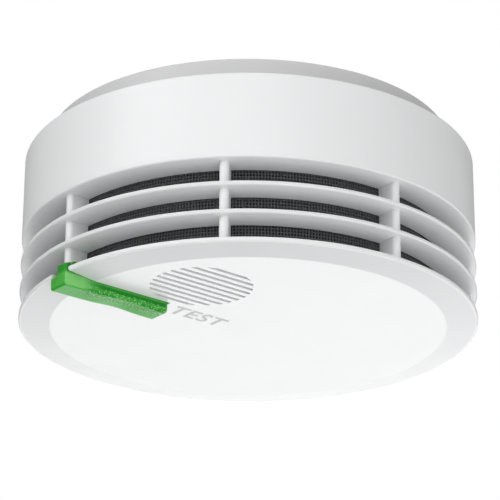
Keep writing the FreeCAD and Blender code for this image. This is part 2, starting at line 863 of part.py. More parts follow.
def make_smoke_chamber():
    """The optical chamber: floor with two cradles, emitter, receiver and the vaned roof."""
    optic_height = "-chamber_floor - optic_drop"
    height = "chamber_floor - board_depth - board_thick"
    floor = cylinder("floor_disc", "chamber_radius", height, "chamber_x", "chamber_y", "-chamber_floor")
    pieces = [floor]
    grooves = []
    optics = (
        ("infrared_led", SIZES["emitter_bearing"]),
        ("photodiode", SIZES["receiver_bearing"]),
    )
    for node, bearing in optics:
        x, y = chamber_point("cradle_reach", bearing)
        size = ("cradle_side", "cradle_side", "cradle_height")
        bottom = "-chamber_floor - cradle_height"
        pieces.append(block(node + "_cradle", *size, x, y, bottom, turn=bearing))
        start = (*chamber_point("lens_reach", bearing), optic_height, bearing)
        grooves.append(
            lying_cylinder(
                node + "_groove", "lens_radius + optic_gap", "lens_length + cutter_spare", *start
            )
        )
        lens = lying_cylinder(node + "_lens", "lens_radius", "lens_length", *start)
        back = (*chamber_point("lens_reach + lens_length", bearing), optic_height, bearing)
        flange = lying_cylinder(node + "_flange", "flange_radius", "flange_length", *back)
        keep(node, join(node, [lens, flange]))
    solid = join("floor_solid", pieces)
    clearances = []
    for node, bearing in optics:
        reach = "lens_reach + lens_length - optic_slack"
        start = (*chamber_point(reach, bearing), optic_height, bearing)
        clearances.append(
            lying_cylinder(
                node + "_clearance", "flange_radius + optic_gap", "flange_length + cutter_spare", *start
            )
        )
    keep("chamber_base", cut("chamber_base", solid, grooves + clearances))

    roof = DOC.addObject("PartDesign::Body", "chamber_labyrinth")
    bind(roof, {"Placement.Base.x": "chamber_x", "Placement.Base.y": "chamber_y"})
    lid_sketch = new_sketch(roof, "lid_outline", "XZ_Plane")
    lid = [
        ("0", "-chamber_roof"),
        ("chamber_radius", "-chamber_roof"),
        ("chamber_radius", "-chamber_roof - roof_thick"),
        ("0", "-chamber_roof - roof_thick"),
    ]
    draw_outline(lid_sketch, lid)
    turned = roof.newObject("PartDesign::Revolution", "lid")
    turned.Profile = lid_sketch
    turned.ReferenceAxis = (lid_sketch, ["V_Axis"])
    turned.Angle = 360
    vane_sketch = new_sketch(roof, "vane_outline", "XY_Plane", lift="-chamber_roof")
    slant = [
        ("vane_inner", "-vane_lead"),
        ("vane_inner + vane_thick", "-vane_lead"),
        ("vane_outer", "vane_trail"),
        ("vane_outer - vane_thick", "vane_trail"),
    ]
    draw_outline(vane_sketch, slant)
    vane = roof.newObject("PartDesign::Pad", "vane")
    vane.Profile = vane_sketch
    bind(vane, {"Length": "chamber_roof - chamber_floor - vane_gap"})
    DOC.recompute()
    ring = roof.newObject("PartDesign::PolarPattern", "vanes")
    ring.Originals = [vane]
    ring.Axis = (vane_sketch, ["N_Axis"])
    ring.Angle = 360
    bind(ring, {"Occurrences": "vane_count"})
    roof.Tip = ring
    keep("chamber_labyrinth", roof)


# ---- sounder ----


def make_sounder():
    """The piezo sounder behind the grille."""
    here = ("sounder_x", "sounder_y")
    inner = "horn_radius - gasket_wall"
    gasket_height = f"-horn_depth - ({FACE_TOP})"
    keep("sounder_gasket", tube("sounder_gasket", "horn_radius", inner, gasket_height, *here, FACE_TOP))

    seat = "-disc_depth - disc_thick"
    corners = [
        ("throat_radius", f"{seat} - horn_under"),
        (inner, f"{seat} - horn_under"),
        (inner, "-horn_depth"),
        ("horn_radius", "-horn_depth"),
        ("horn_radius", "-horn_back"),
        ("horn_radius - horn_wall", "-horn_back"),
        ("horn_radius - horn_wall", seat),
        ("horn_radius - horn_seat", seat),
        ("horn_radius - horn_seat", f"{seat} - horn_over"),
        ("throat_radius", f"{seat} - horn_over"),
    ]
    keep("sounder_horn", lathe("sounder_horn", corners, *here))
    radius = "horn_radius - horn_wall - disc_gap"
    keep("piezo_disc", cylinder("piezo_disc", radius, "disc_thick", *here, seat))
    ceramic = cylinder("piezo_ceramic", "ceramic_radius", "ceramic_thick", *here, "-disc_depth")
    keep("piezo_ceramic", ceramic)
    springs = []
    for name, start in (
        ("spring_outer", "-disc_depth"),
        ("spring_inner", "-disc_depth + ceramic_thick"),
    ):
        height = f"{BOARD_UNDER} - ({start})"
        x = f"sounder_x + {name}"
        springs.append(cylinder(name + "_pin", "spring_radius", height, x, "sounder_y", start))
    keep("sounder_contacts", group("sounder_contacts", springs))


def check_everything():
    """Stop if any object failed or any sub-part has a bad shape."""
    for item in DOC.Objects:
        bad = [state for state in item.State if state in ("Invalid", "Error")]
        if bad:
            raise RuntimeError(f"{item.Name} is {bad}")
    for item in PIECES:
        if item.Shape.isNull() or not item.Shape.isValid():
            raise RuntimeError(f"{item.Label} has a bad shape")


def write_pieces():
    """Write one STEP file for each sub-part."""
    os.makedirs("parts", exist_ok=True)
    for item in PIECES:
        item.Shape.exportStep(os.path.join("parts", item.Label + ".step"))
        box = item.Shape.BoundBox
        print(f"{item.Label:20s} solids {len(item.Shape.Solids):2d}  z {box.ZMin:7.2f} {box.ZMax:7.2f}")


make_sheet()
make_mounting_base()
make_upper_shell()
for label, height in zip(("louvre_ring_upper", "louvre_ring_lower"), LOUVRE_TOPS):
    make_louvre_ring(label, height)
make_louvre_posts()
make_front_cover()
make_insect_screen()
make_test_button()
make_test_switch()
make_rear_housing()
make_module_bay_cover()
make_rating_label()
make_circuit_board()
make_board_screws()
make_battery()
make_board_parts()
make_smoke_chamber()
make_sounder()
DOC.recompute()
check_everything()
write_pieces()
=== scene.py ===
import math

import bmesh
import bpy
from mathutils import Matrix, Vector


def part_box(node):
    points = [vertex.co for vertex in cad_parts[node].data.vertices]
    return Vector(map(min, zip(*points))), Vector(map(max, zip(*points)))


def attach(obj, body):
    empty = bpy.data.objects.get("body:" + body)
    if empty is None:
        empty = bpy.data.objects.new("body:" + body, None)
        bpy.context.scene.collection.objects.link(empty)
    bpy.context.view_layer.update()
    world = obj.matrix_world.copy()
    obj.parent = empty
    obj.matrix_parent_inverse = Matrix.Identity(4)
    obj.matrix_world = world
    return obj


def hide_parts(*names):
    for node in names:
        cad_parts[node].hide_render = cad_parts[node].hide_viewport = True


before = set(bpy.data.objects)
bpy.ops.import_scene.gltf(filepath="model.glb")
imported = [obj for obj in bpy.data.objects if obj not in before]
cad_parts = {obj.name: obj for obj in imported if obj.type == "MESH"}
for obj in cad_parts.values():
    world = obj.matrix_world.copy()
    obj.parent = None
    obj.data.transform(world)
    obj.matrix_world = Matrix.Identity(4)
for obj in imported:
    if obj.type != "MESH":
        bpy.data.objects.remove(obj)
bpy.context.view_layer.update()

bl_info = {
    "name": "Ceiling Smoke Alarm",
    "version": (1, 0, 0),
    "blender": (4, 5, 0),
    "location": "3D View > Sidebar > Smoke Alarm",
    "description": "Builds the visible pieces of a louvred ceiling smoke alarm around its CAD parts",
    "category": "Object",
}

# The alarm hangs from z = 0 down towards -Z. Bearings are turned about Z from +X. One scene unit is a
# metre, and MM is one millimetre.

MM = 0.001
BASE_LOW, BASE_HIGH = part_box("mounting_base")
BAND_LOW, BAND_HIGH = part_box("upper_shell")
RING_LOW, RING_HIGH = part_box("louvre_ring_upper")
SCREEN_LOW, SCREEN_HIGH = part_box("insect_screen")
GASKET_LOW, GASKET_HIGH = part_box("sounder_gasket")
SOUNDER = (GASKET_LOW + GASKET_HIGH) / 2
FACE_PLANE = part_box("front_cover")[0].z
FACE_BACK = GASKET_LOW.z
BODY_RADIUS = BAND_HIGH.x
BASE_RADIUS = BASE_HIGH.x
SCREEN_RADIUS = SCREEN_HIGH.x

# Sizes that the boxes of the CAD parts don't give.
INLET_RADIUS = 51.3 * MM
FACE_FLAT = 50.5 * MM
LOUVRE_DROP = 0.45 * MM
LOUVRE_THICK = RING_HIGH.z - RING_LOW.z - LOUVRE_DROP
LOUVRE_PITCH = RING_HIGH.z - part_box("louvre_ring_lower")[1].z
BAND_BOTTOM = BAND_LOW.z + LOUVRE_DROP
# No post stands on the X axis, so a nose reaches further out than their box does.
POST_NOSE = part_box("louvre_posts")[1].x * 1.0053
POST_BEARING = math.radians(-96)
BUTTON_BEARING = math.radians(-141)
BUTTON_WIDTH = 6.4 * MM
BUTTON_INNER = 27.9 * MM
BUTTON_OUTER = 59.0 * MM
BUTTON_TOP = -47.6 * MM
TAB_START, TAB_RUN, TAB_WIDTH = 56.6 * MM, 0.8 * MM, 2.4 * MM
TAB_DROP, STEP_DROP = 0.9 * MM, 3.5 * MM
HINGE_REACH, HINGE_HEIGHT = 47.5 * MM, -48.6 * MM
BASE_WALL = 2.2 * MM
RELIEF_INNER, RELIEF_OUTER, RELIEF_DEPTH = 38 * MM, 46 * MM, 0.6 * MM
RIB_COUNT = 36
SLOT_REACH, SLOT_RUN, SLOT_RADIUS = 30 * MM, 1.8 * MM, 2.2 * MM
HOOK_COUNT, HOOK_START, HOOK_INNER = 3, math.radians(20), 48.3 * MM


# ---- settings that a user would change ----

IN_METRES = {"subtype": "DISTANCE", "unit": "LENGTH", "precision": 5}
IN_COLOUR = {"subtype": "COLOR", "size": 4, "min": 0, "max": 1}


class AlarmShellSettings(bpy.types.PropertyGroup):
    segments: bpy.props.IntProperty(
        name="Segments", description="Facets round each turned moulding", default=288, min=32
    )
    wall: bpy.props.FloatProperty(
        name="Wall", description="Thickness of the band", default=2.0 * MM, **IN_METRES,
    )
    edge: bpy.props.FloatProperty(
        name="Edge rounding", description="Rounding of the band's edges",
        default=0.45 * MM, **IN_METRES,
    )
    post_count: bpy.props.IntProperty(
        name="Posts", description="Posts between the louvres", default=8, min=3
    )
    post_width: bpy.props.FloatProperty(
        name="Post width", description="Thickness of a post", default=2.3 * MM, **IN_METRES,
    )
    colour: bpy.props.FloatVectorProperty(
        name="Shell colour", description="White of the outer mouldings",
        default=(0.83, 0.835, 0.84, 1), **IN_COLOUR,
    )
    base_colour: bpy.props.FloatVectorProperty(
        name="Base colour", description="White of the ceiling base",
        default=(0.63, 0.63, 0.635, 1), **IN_COLOUR,
    )


class AlarmScreenSettings(bpy.types.PropertyGroup):
    uprights: bpy.props.IntProperty(
        name="Uprights", description="Upright wires round the screen", default=420, min=12
    )
    rows: bpy.props.IntProperty(
        name="Rows", description="Level wires up the screen", default=25, min=2
    )
    wire: bpy.props.FloatProperty(
        name="Wire", description="Radius of a wire", default=0.20 * MM, **IN_METRES,
    )
    colour: bpy.props.FloatVectorProperty(
        name="Screen colour", description="Dark grey of the insect screen",
        default=(0.105, 0.107, 0.112, 1), **IN_COLOUR,
    )


class AlarmGrilleSettings(bpy.types.PropertyGroup):
    count: bpy.props.IntProperty(name="Slots", description="Slots in the grille", default=10, min=1)
    pitch: bpy.props.FloatProperty(
        name="Pitch", description="From one slot to the next", default=2.5 * MM, **IN_METRES,
    )
    width: bpy.props.FloatProperty(
        name="Slot width", description="Width of one slot", default=1.15 * MM, **IN_METRES,
    )
    radius: bpy.props.FloatProperty(
        name="Grille radius", description="Radius that the slots fill", default=12.65 * MM, **IN_METRES,
    )
    legend_height: bpy.props.FloatProperty(
        name="Legend height", description="Height of the plain capitals by the button",
        default=4.9 * MM, **IN_METRES,
    )
    legend_colour: bpy.props.FloatVectorProperty(
        name="Legend colour", description="Grey of the legend",
        default=(0.50, 0.505, 0.51, 1), **IN_COLOUR,
    )


class AlarmButtonSettings(bpy.types.PropertyGroup):
    dip: bpy.props.FloatProperty(
        name="Finger dip", description="Depth of the saddle for the finger",
        default=0.5 * MM, **IN_METRES,
    )
    grain: bpy.props.FloatProperty(
        name="Grain", description="Height of the light-scattering grain",
        default=0.07 * MM, **IN_METRES,
    )
    colour: bpy.props.FloatVectorProperty(
        name="Button colour", description="Green of the light guide",
        default=(0.085, 0.43, 0.07, 1), **IN_COLOUR,
    )


class AlarmStageSettings(bpy.types.PropertyGroup):
    lens: bpy.props.FloatProperty(
        name="Lens", description="Focal length in millimetres", default=166.9, min=20
    )
    distance: bpy.props.FloatProperty(
        name="Distance", description="From the camera to the alarm", default=0.602,
        subtype="DISTANCE", unit="LENGTH",
    )
    elevation: bpy.props.FloatProperty(
        name="Elevation", description="Angle that the camera looks up at", subtype="ANGLE",
        unit="ROTATION", default=math.radians(22.74),
    )
    roll: bpy.props.FloatProperty(
        name="Roll", description="Camera roll", subtype="ANGLE", unit="ROTATION",
        default=math.radians(0.3),
    )
    floor_drop: bpy.props.FloatProperty(
        name="Floor drop", description="From the ceiling to the floor", default=1.5,
        subtype="DISTANCE", unit="LENGTH",
    )
    glow: bpy.props.FloatProperty(
        name="Floor glow", description="Light that the pale floor gives off", default=0.41, min=0
    )
    ambient: bpy.props.FloatProperty(
        name="Ambient", description="Strength of the even light", default=0.08, min=0
    )


SETTINGS = {
    "alarm_shell": AlarmShellSettings,
    "alarm_screen": AlarmScreenSettings,
    "alarm_grille": AlarmGrilleSettings,
    "alarm_button": AlarmButtonSettings,
    "alarm_stage": AlarmStageSettings,
}


# ---- mesh helpers ----


def rounded_outline(corners, steps=5, guard=0.06 * MM):
    """Turn corners (across, up, rounding) into an outline with an arc at each rounded corner.

    A guard point just outside each arc keeps the shading of the flats beside it flat."""
    points = []
    for index, (across, up, size) in enumerate(corners):
        here = Vector((across, up))
        before = (Vector(corners[index - 1][:2]) - here).normalized()
        after = (Vector(corners[(index + 1) % len(corners)][:2]) - here).normalized()
        if size <= 0:
            points.append(here)
            continue
        half = before.angle(after) / 2
        run = size / math.tan(half)
        centre = here + (before + after).normalized() * size / math.sin(half)
        start = here + before * run - centre
        end = here + after * run - centre
        sweep = start.angle_signed(end)
        points.append(here + before * (run + guard))
        for step in range(steps + 1):
            points.append(centre + Matrix.Rotation(-sweep * step / steps, 2) @ start)
        points.append(here + after * (run + guard))
    return points


def turned_mesh(name, outline, segments, closed=True, lid=True):
    """Turn an outline of (radius, height) points about an upright axis.

    A closed outline makes a ring. An open one gets a flat face at its start, and at its end if it has a
    lid."""
    work = bmesh.new()
    rings = []
    for point in outline:
        ring = []
        for step in range(segments):
            angle = math.tau * step / segments
            ring.append(work.verts.new((point.x * math.cos(angle), point.x * math.sin(angle), point.y)))
        rings.append(ring)
    pairs = list(zip(rings, rings[1:]))
    if closed:
        pairs.append((rings[-1], rings[0]))
    for lower, upper in pairs:
        for step in range(segments):
            after = (step + 1) % segments
            work.faces.new((lower[step], lower[after], upper[after], upper[step]))
    if not closed:
        work.faces.new(rings[0])
        if lid:
            work.faces.new(rings[-1])
    bmesh.ops.recalc_face_normals(work, faces=work.faces)
    return finished_mesh(name, work)


def box_into(work, size, centre, turn=0.0):
    """Add a box of a size about a centre, turned about the upright axis."""
    place = Matrix.Translation(centre) @ Matrix.Rotation(turn, 4, "Z") @ Matrix.Diagonal((*size, 1))
    bmesh.ops.create_cube(work, size=1, matrix=place)


def prism_into(work, outline, low, high):
    """Add an upright prism over an outline seen from above."""
    bottom = [work.verts.new((point.x, point.y, low)) for point in outline]
    top = [work.verts.new((point.x, point.y, high)) for point in outline]
    sides = []
    for index in range(len(outline)):
        after = (index + 1) % len(outline)
        sides.append(work.faces.new((bottom[index], bottom[after], top[after], top[index])))
    caps = [work.faces.new(bottom), work.faces.new(top)]
    bmesh.ops.recalc_face_normals(work, faces=sides + caps)


def arc(centre, radius, start, end, steps):
    """Points along an arc seen from above; the angles are in radians."""
    points = []
    for step in range(steps + 1):
        angle = start + (end - start) * step / steps
        points.append(centre + radius * Vector((math.cos(angle), math.sin(angle))))
    return points


def finished_mesh(name, work):
    """Write a bmesh to a new smooth mesh."""
    mesh = bpy.data.meshes.new(name)
    work.to_mesh(mesh)
    work.free()
    for face in mesh.polygons:
        face.use_smooth = True
    return mesh


def new_piece(name, mesh, material=None):
    """Link a mesh as an object at the origin."""
    piece = bpy.data.objects.new(name, mesh)
    bpy.context.scene.collection.objects.link(piece)
    if material is not None:
        mesh.materials.clear()
        mesh.materials.append(material)
    return piece


def plain_result(piece):
    """Replace a piece's mesh with what its modifiers give, and remove them."""
    bpy.context.view_layer.update()
    graph = bpy.context.evaluated_depsgraph_get()
    mesh = bpy.data.meshes.new_from_object(piece.evaluated_get(graph), depsgraph=graph)
    piece.modifiers.clear()
    piece.data = mesh
    return piece


def boolean(piece, tool, operation="DIFFERENCE"):
    """Cut a tool from a piece or join it on, and drop the tool."""
    step = piece.modifiers.new("boolean", "BOOLEAN")
    step.operation = operation
    step.object = tool
    step.solver = "EXACT"
    plain_result(piece)
    bpy.data.objects.remove(tool)
    return piece


def soften_edges(piece, width, angle=math.radians(40), segments=2):
    """Round a piece's hard edges and keep its flats flat."""
    piece.data.set_sharp_from_angle(angle=angle)
    bevel = piece.modifiers.new("soft edges", "BEVEL")
    bevel.width = width
    bevel.segments = segments
    bevel.limit_method = "ANGLE"
    bevel.angle_limit = angle
    bevel.harden_normals = True
    return plain_result(piece)


def place(piece, body, slot, *nodes):
    """Say which body a piece rides on and hide the CAD nodes that it stands for; the slot for its
    finish is not used.
    """
    if nodes:
        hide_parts(*nodes)
    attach(piece, body)


def polar(reach, bearing, height=0.0):
    """A point at a reach and a bearing from the alarm's axis."""
    return Vector((reach * math.cos(bearing), reach * math.sin(bearing), height))


def polar_side(reach, side, height):
    """A point at a reach along the button's bearing and a distance to its side."""
    along = polar(1, BUTTON_BEARING)
    beside = polar(1, BUTTON_BEARING + math.pi / 2)
    return along * reach + beside * side + Vector((0, 0, height))


# ---- geometry node trees ----


def new_tree(name, sizes):
    """A geometry node tree with a mesh in, a mesh out and named inputs."""
    tree = bpy.data.node_groups.new(name, "GeometryNodeTree")
    tree.interface.new_socket("Geometry", in_out="INPUT", socket_type="NodeSocketGeometry")
    for label, (kind, default) in sizes.items():
        socket = tree.interface.new_socket(label, in_out="INPUT", socket_type=kind)
        if default is not None:
            socket.default_value = default
    tree.interface.new_socket("Geometry", in_out="OUTPUT", socket_type="NodeSocketGeometry")
    return tree


def link_value(tree, value, socket):
    """Feed a socket from another socket or with a constant."""
    if isinstance(value, bpy.types.NodeSocket):
        tree.links.new(value, socket)
    else:
        socket.default_value = value


def feed(tree, node, inputs):
    """Feed those of a node's inputs that have a value."""
    for key, value in inputs.items():
        if value is not None:
            link_value(tree, value, node.inputs[key])


def add_node(tree, kind, inputs=None, **settings):
    """Add a node, set its options and feed its inputs."""
    node = tree.nodes.new(kind)
    for name, value in settings.items():
        setattr(node, name, value)
    feed(tree, node, inputs or {})
    return node


def maths(tree, operation, first, second=None, third=None):
    """One step of arithmetic."""
    inputs = {0: first, 1: second, 2: third}
    return add_node(tree, "ShaderNodeMath", inputs, operation=operation).outputs[0]


def times(tree, first, *others):
    """The product of two or more values."""
    for other in others:
        first = maths(tree, "MULTIPLY", first, other)
    return first


def plus(tree, first, second):
    """The sum of two values."""
    return maths(tree, "ADD", first, second)


def minus(tree, first, second):
    """The first value less the second."""
    return maths(tree, "SUBTRACT", first, second)


def vector(tree, **parts):
    """A vector from its X, Y and Z parts, where a part that isn't given is 0."""
    return add_node(tree, "ShaderNodeCombineXYZ", parts).outputs[0]


def spots_at(tree, count, position=None):
    """Points at a position that may depend on their index."""
    node = add_node(tree, "GeometryNodePoints", {"Count": count, "Position": position})
    return node.outputs[0]


def copies_on(tree, spots, mesh, turn=None, chosen=None):
    """A copy of a mesh on each chosen point."""
    inputs = {"Points": spots, "Instance": mesh, "Rotation": turn, "Selection": chosen}
    return add_node(tree, "GeometryNodeInstanceOnPoints", inputs).outputs[0]


def wire_along(tree, path, profile):
    """A closed wire along a path."""
    inputs = {"Curve": path, "Profile Curve": profile, "Fill Caps": True}
    return add_node(tree, "GeometryNodeCurveToMesh", inputs).outputs[0]


def close_tree(tree, geometry, material):
    """Realize the instances, set the material and feed the tree's output."""
    real = add_node(tree, "GeometryNodeRealizeInstances", {"Geometry": geometry}).outputs[0]
    painted = add_node(tree, "GeometryNodeSetMaterial", {"Geometry": real, "Material": material})
    add_node(tree, "NodeGroupOutput", {"Geometry": painted.outputs["Geometry"]})


LENGTH = "NodeSocketFloat"
WHOLE = "NodeSocketInt"
FINISH = "NodeSocketMaterial"


def row_tree():
    """Repeats a mesh: each copy is turned and dropped one step further than the last."""
    tree = new_tree(
        "Repeat",
        {
            "Count": (WHOLE, 2),
            "First turn": (LENGTH, 0.0),
            "Turn": (LENGTH, 0.0),
            "Drop": (LENGTH, 0.0),
            "Finish": (FINISH, None),
        },
    )
    given = tree.nodes.new("NodeGroupInput").outputs
    index = add_node(tree, "GeometryNodeInputIndex").outputs[0]
    spot = vector(tree, Z=times(tree, index, given["Drop"], -1.0))
    facing = vector(tree, Z=plus(tree, times(tree, index, given["Turn"]), given["First turn"]))
    spots = spots_at(tree, given["Count"], spot)
    close_tree(tree, copies_on(tree, spots, given["Geometry"], facing), given["Finish"])
    return tree


def screen_tree():
    """A round cage of fine wires, with a gap in its lowest rows where the button passes."""
    tree = new_tree(
        "Insect screen",
        {
            "Radius": (LENGTH, 0.05),
            "Wire": (LENGTH, 0.0003),
            "Uprights": (WHOLE, 300),
            "Rows": (WHOLE, 18),
            "Low": (LENGTH, -0.05),
            "Height": (LENGTH, 0.02),
            "Gap start": (LENGTH, 0.0),
            "Gap uprights": (WHOLE, 6),
            "Gap rows": (WHOLE, 2),
            "Finish": (FINISH, None),
        },
    )
    given = tree.nodes.new("NodeGroupInput").outputs
    radius, low = given["Radius"], given["Low"]
    circle = "GeometryNodeCurvePrimitiveCircle"
    bead = add_node(tree, circle, {"Resolution": 5, "Radius": given["Wire"]}).outputs[0]
    index = add_node(tree, "GeometryNodeInputIndex").outputs[0]
    step = maths(tree, "DIVIDE", math.tau, given["Uprights"])
    pitch = maths(tree, "DIVIDE", given["Height"], minus(tree, given["Rows"], 1.0))
    high = plus(tree, low, given["Height"])
    gap_top = plus(tree, low, times(tree, pitch, given["Gap rows"]))
    facing = vector(tree, Z=plus(tree, times(tree, index, step), given["Gap start"]))
    in_gap = maths(tree, "LESS_THAN", index, given["Gap uprights"])
    uprights = spots_at(tree, given["Uprights"])
    parts = []
    for foot, chosen in ((low, minus(tree, 1.0, in_gap)), (gap_top, in_gap)):
        ends = {"Start": vector(tree, X=radius, Z=foot), "End": vector(tree, X=radius, Z=high)}
        line = add_node(tree, "GeometryNodeCurvePrimitiveLine", ends).outputs[0]
        parts.append(copies_on(tree, uprights, wire_along(tree, line, bead), facing, chosen))

    whole = {"Resolution": given["Uprights"], "Radius": radius}
    gap = times(tree, minus(tree, given["Gap uprights"], 1.0), step)
    opened = {
        "Start Angle": plus(tree, given["Gap start"], gap),
        "Sweep Angle": minus(tree, math.tau, gap),
    }
    hoop = add_node(tree, circle, whole).outputs[0]
    open_hoop = add_node(tree, "GeometryNodeCurveArc", whole | opened).outputs[0]
    in_gap_rows = maths(tree, "LESS_THAN", index, given["Gap rows"])
    level = vector(tree, Z=plus(tree, low, times(tree, index, pitch)))
    rows = spots_at(tree, given["Rows"], level)
    for path, chosen in ((hoop, minus(tree, 1.0, in_gap_rows)), (open_hoop, in_gap_rows)):
        parts.append(copies_on(tree, rows, wire_along(tree, path, bead), chosen=chosen))
    joined = tree.nodes.new("GeometryNodeJoinGeometry")
    for part in parts:
        tree.links.new(part, joined.inputs[0])
    close_tree(tree, joined.outputs[0], given["Finish"])
    return tree


def grille_tree():
    """Parallel bars trimmed to a circle: the shape that is cut out of the face for the sounder."""
    tree = new_tree(
        "Grille slots",
        {
            "Count": (WHOLE, 10),
            "Pitch": (LENGTH, 0.0025),
            "Width": (LENGTH, 0.001),
            "Depth": (LENGTH, 0.01),
            "Radius": (LENGTH, 0.0126),
            "Finish": (FINISH, None),
        },
    )
    given = tree.nodes.new("NodeGroupInput").outputs
    length = times(tree, given["Radius"], 2.2)
    size = vector(tree, X=length, Y=given["Width"], Z=given["Depth"])
    bar = add_node(tree, "GeometryNodeMeshCube", {"Size": size}).outputs[0]
    index = add_node(tree, "GeometryNodeInputIndex").outputs[0]
    middle = maths(tree, "DIVIDE", minus(tree, given["Count"], 1.0), 2.0)
    spot = vector(tree, Y=times(tree, minus(tree, index, middle), given["Pitch"]))
    bars = copies_on(tree, spots_at(tree, given["Count"], spot), bar)
    real = add_node(tree, "GeometryNodeRealizeInstances", {"Geometry": bars})
    depth = times(tree, given["Depth"], 0.9)
    disc_sizes = {"Vertices": 96, "Radius": given["Radius"], "Depth": depth}
    disc = add_node(tree, "GeometryNodeMeshCylinder", disc_sizes)
    trimmed = add_node(tree, "GeometryNodeMeshBoolean", operation="INTERSECT", solver="EXACT")
    tree.links.new(real.outputs[0], trimmed.inputs["Mesh 2"])
    tree.links.new(disc.outputs["Mesh"], trimmed.inputs["Mesh 2"])
    close_tree(tree, trimmed.outputs["Mesh"], given["Finish"])
    return tree


def grown(name, mesh, tree, values, finish):
    """Run a tree on a mesh and return the plain object that it gives."""
    piece = new_piece(name, mesh)
    step = piece.modifiers.new("growth", "NODES")
    step.node_group = tree
    for item in tree.interface.items_tree:
        if item.in_out != "INPUT":
            continue
        if item.name in values:
            step[item.identifier] = values[item.name]
        elif item.name == "Finish":
            step[item.identifier] = finish
    plain_result(piece)
    for face in piece.data.polygons:
        face.use_smooth = True
    return piece


# ---- materials ----


def new_material(name):
    """An empty node material with its shader, output and object coordinates."""
    material = bpy.data.materials.new(name)
    material.use_nodes = True
    tree = material.node_tree
    tree.nodes.clear()
    out = tree.nodes.new("ShaderNodeOutputMaterial")
    shader = tree.nodes.new("ShaderNodeBsdfPrincipled")
    tree.links.new(shader.outputs[0], out.inputs["Surface"])
    coords = tree.nodes.new("ShaderNodeTexCoord").outputs["Object"]
    return material, tree, shader, coords


def noise(tree, coords, scale, detail=3.0):
    """Noise in object space; the scale is in repeats per metre."""
    node = add_node(tree, "ShaderNodeTexNoise", {"Vector": coords, "Scale": scale, "Detail": detail})
    return node.outputs["Fac"]


def spread(tree, factor, low, high):
    """Map a 0 to 1 factor to a range."""
    node = add_node(tree, "ShaderNodeMapRange", {"Value": factor, "To Min": low, "To Max": high})
    return node.outputs["Result"]


def eased(tree, value, start, end):
    """0 to 1 as a value goes smoothly from start to end."""
    node = add_node(
        tree,
        "ShaderNodeMapRange",
        {"Value": value, "From Min": start, "From Max": end},
        interpolation_type="SMOOTHSTEP",
    )
    return node.outputs["Result"]


def blended(tree, factor, first, second, kind="MIX"):
    """Blend two colours, fixed or made by nodes, by a factor."""
    inputs = {"Factor": factor, 6: first, 7: second}
    node = add_node(tree, "ShaderNodeMix", inputs, data_type="RGBA", blend_type=kind)
    return node.outputs[2]


def dotted(tree, coords, direction):
    """How far a point lies along a direction."""
    inputs = {0: coords, 1: direction}
    return add_node(tree, "ShaderNodeVectorMath", inputs, operation="DOT_PRODUCT").outputs["Value"]


def bumped(tree, shader, height, distance):
    """Feed a height into the shader's normal."""
    node = add_node(tree, "ShaderNodeBump", {"Height": height, "Distance": distance})
    feed(tree, shader, {"Normal": node.outputs[0]})


def shade_of(colour, red, green=None, blue=None):
    """A colour with its red, green and blue scaled, all three by the first share if it's alone."""
    shares = (red, green or red, blue or red)
    return tuple(min(1.0, part * share) for part, share in zip(colour[:3], shares)) + (1.0,)


def moulded_plastic(name, colour, roughness=0.42, grain=0.012 * MM):
    """Moulded plastic: spark-eroded grain, faint mottling and slightly uneven gloss."""
    material, tree, shader, coords = new_material(name)
    mottle = noise(tree, coords, 45.0)
    mottled = blended(tree, mottle, shade_of(colour, 0.985), shade_of(colour, 1.015))
    gloss = spread(tree, noise(tree, coords, 160.0), roughness - 0.05, roughness + 0.05)
    feed(tree, shader, {"Base Color": mottled, "Roughness": gloss, "IOR": 1.5})
    bumped(tree, shader, noise(tree, coords, 2600.0, 4.0), grain)
    return material


def shell_plastic(colour):
    """The white plastic that the outer mouldings of the head share, made once."""
    return bpy.data.materials.get("shell_plastic") or moulded_plastic("shell_plastic", colour)


def face_plastic(colour):
    """The shell's plastic, with painted shade on the bevel that frames the flat of the face: there its
    white is made greyer.
    """
    material = moulded_plastic("face_plastic", colour)
    tree = material.node_tree
    shader = next(node for node in tree.nodes if node.type == "BSDF_PRINCIPLED")
    coords = next(node for node in tree.nodes if node.type == "TEX_COORD").outputs["Object"]
    split = add_node(tree, "ShaderNodeSeparateXYZ", {"Vector": coords})
    square = times(tree, split.outputs["X"], split.outputs["X"])
    other = times(tree, split.outputs["Y"], split.outputs["Y"])
    reach = maths(tree, "SQRT", plus(tree, square, other))
    past_flat = eased(tree, reach, FACE_FLAT - 0.3 * MM, FACE_FLAT + 0.4 * MM)
    before_rim = eased(tree, reach, BODY_RADIUS - 0.4 * MM, BODY_RADIUS - 0.8 * MM)
    bevel = times(tree, past_flat, before_rim)
    white = shader.inputs["Base Color"].links[0].from_socket
    # Painted shade: over the bevel mask the white is multiplied towards grey; the rim edge stays white.
    grey = blended(tree, bevel, white, (0.82, 0.822, 0.825, 1), "MULTIPLY")
    feed(tree, shader, {"Base Color": grey})
    return material


def metal(name, colour, roughness=0.3):
    """Plated or drawn metal with fine drawn lines."""
    material, tree, shader, coords = new_material(name)
    stretch = add_node(tree, "ShaderNodeMapping", {"Vector": coords, "Scale": (1.0, 1.0, 0.05)})
    lines = noise(tree, stretch.outputs[0], 900.0, 2.0)
    lined = blended(tree, lines, shade_of(colour, 0.85), colour)
    gloss = spread(tree, lines, roughness - 0.08, roughness + 0.12)
    feed(tree, shader, {"Base Color": lined, "Roughness": gloss, "Metallic": 1.0})
    bumped(tree, shader, lines, 0.01 * MM)
    return material


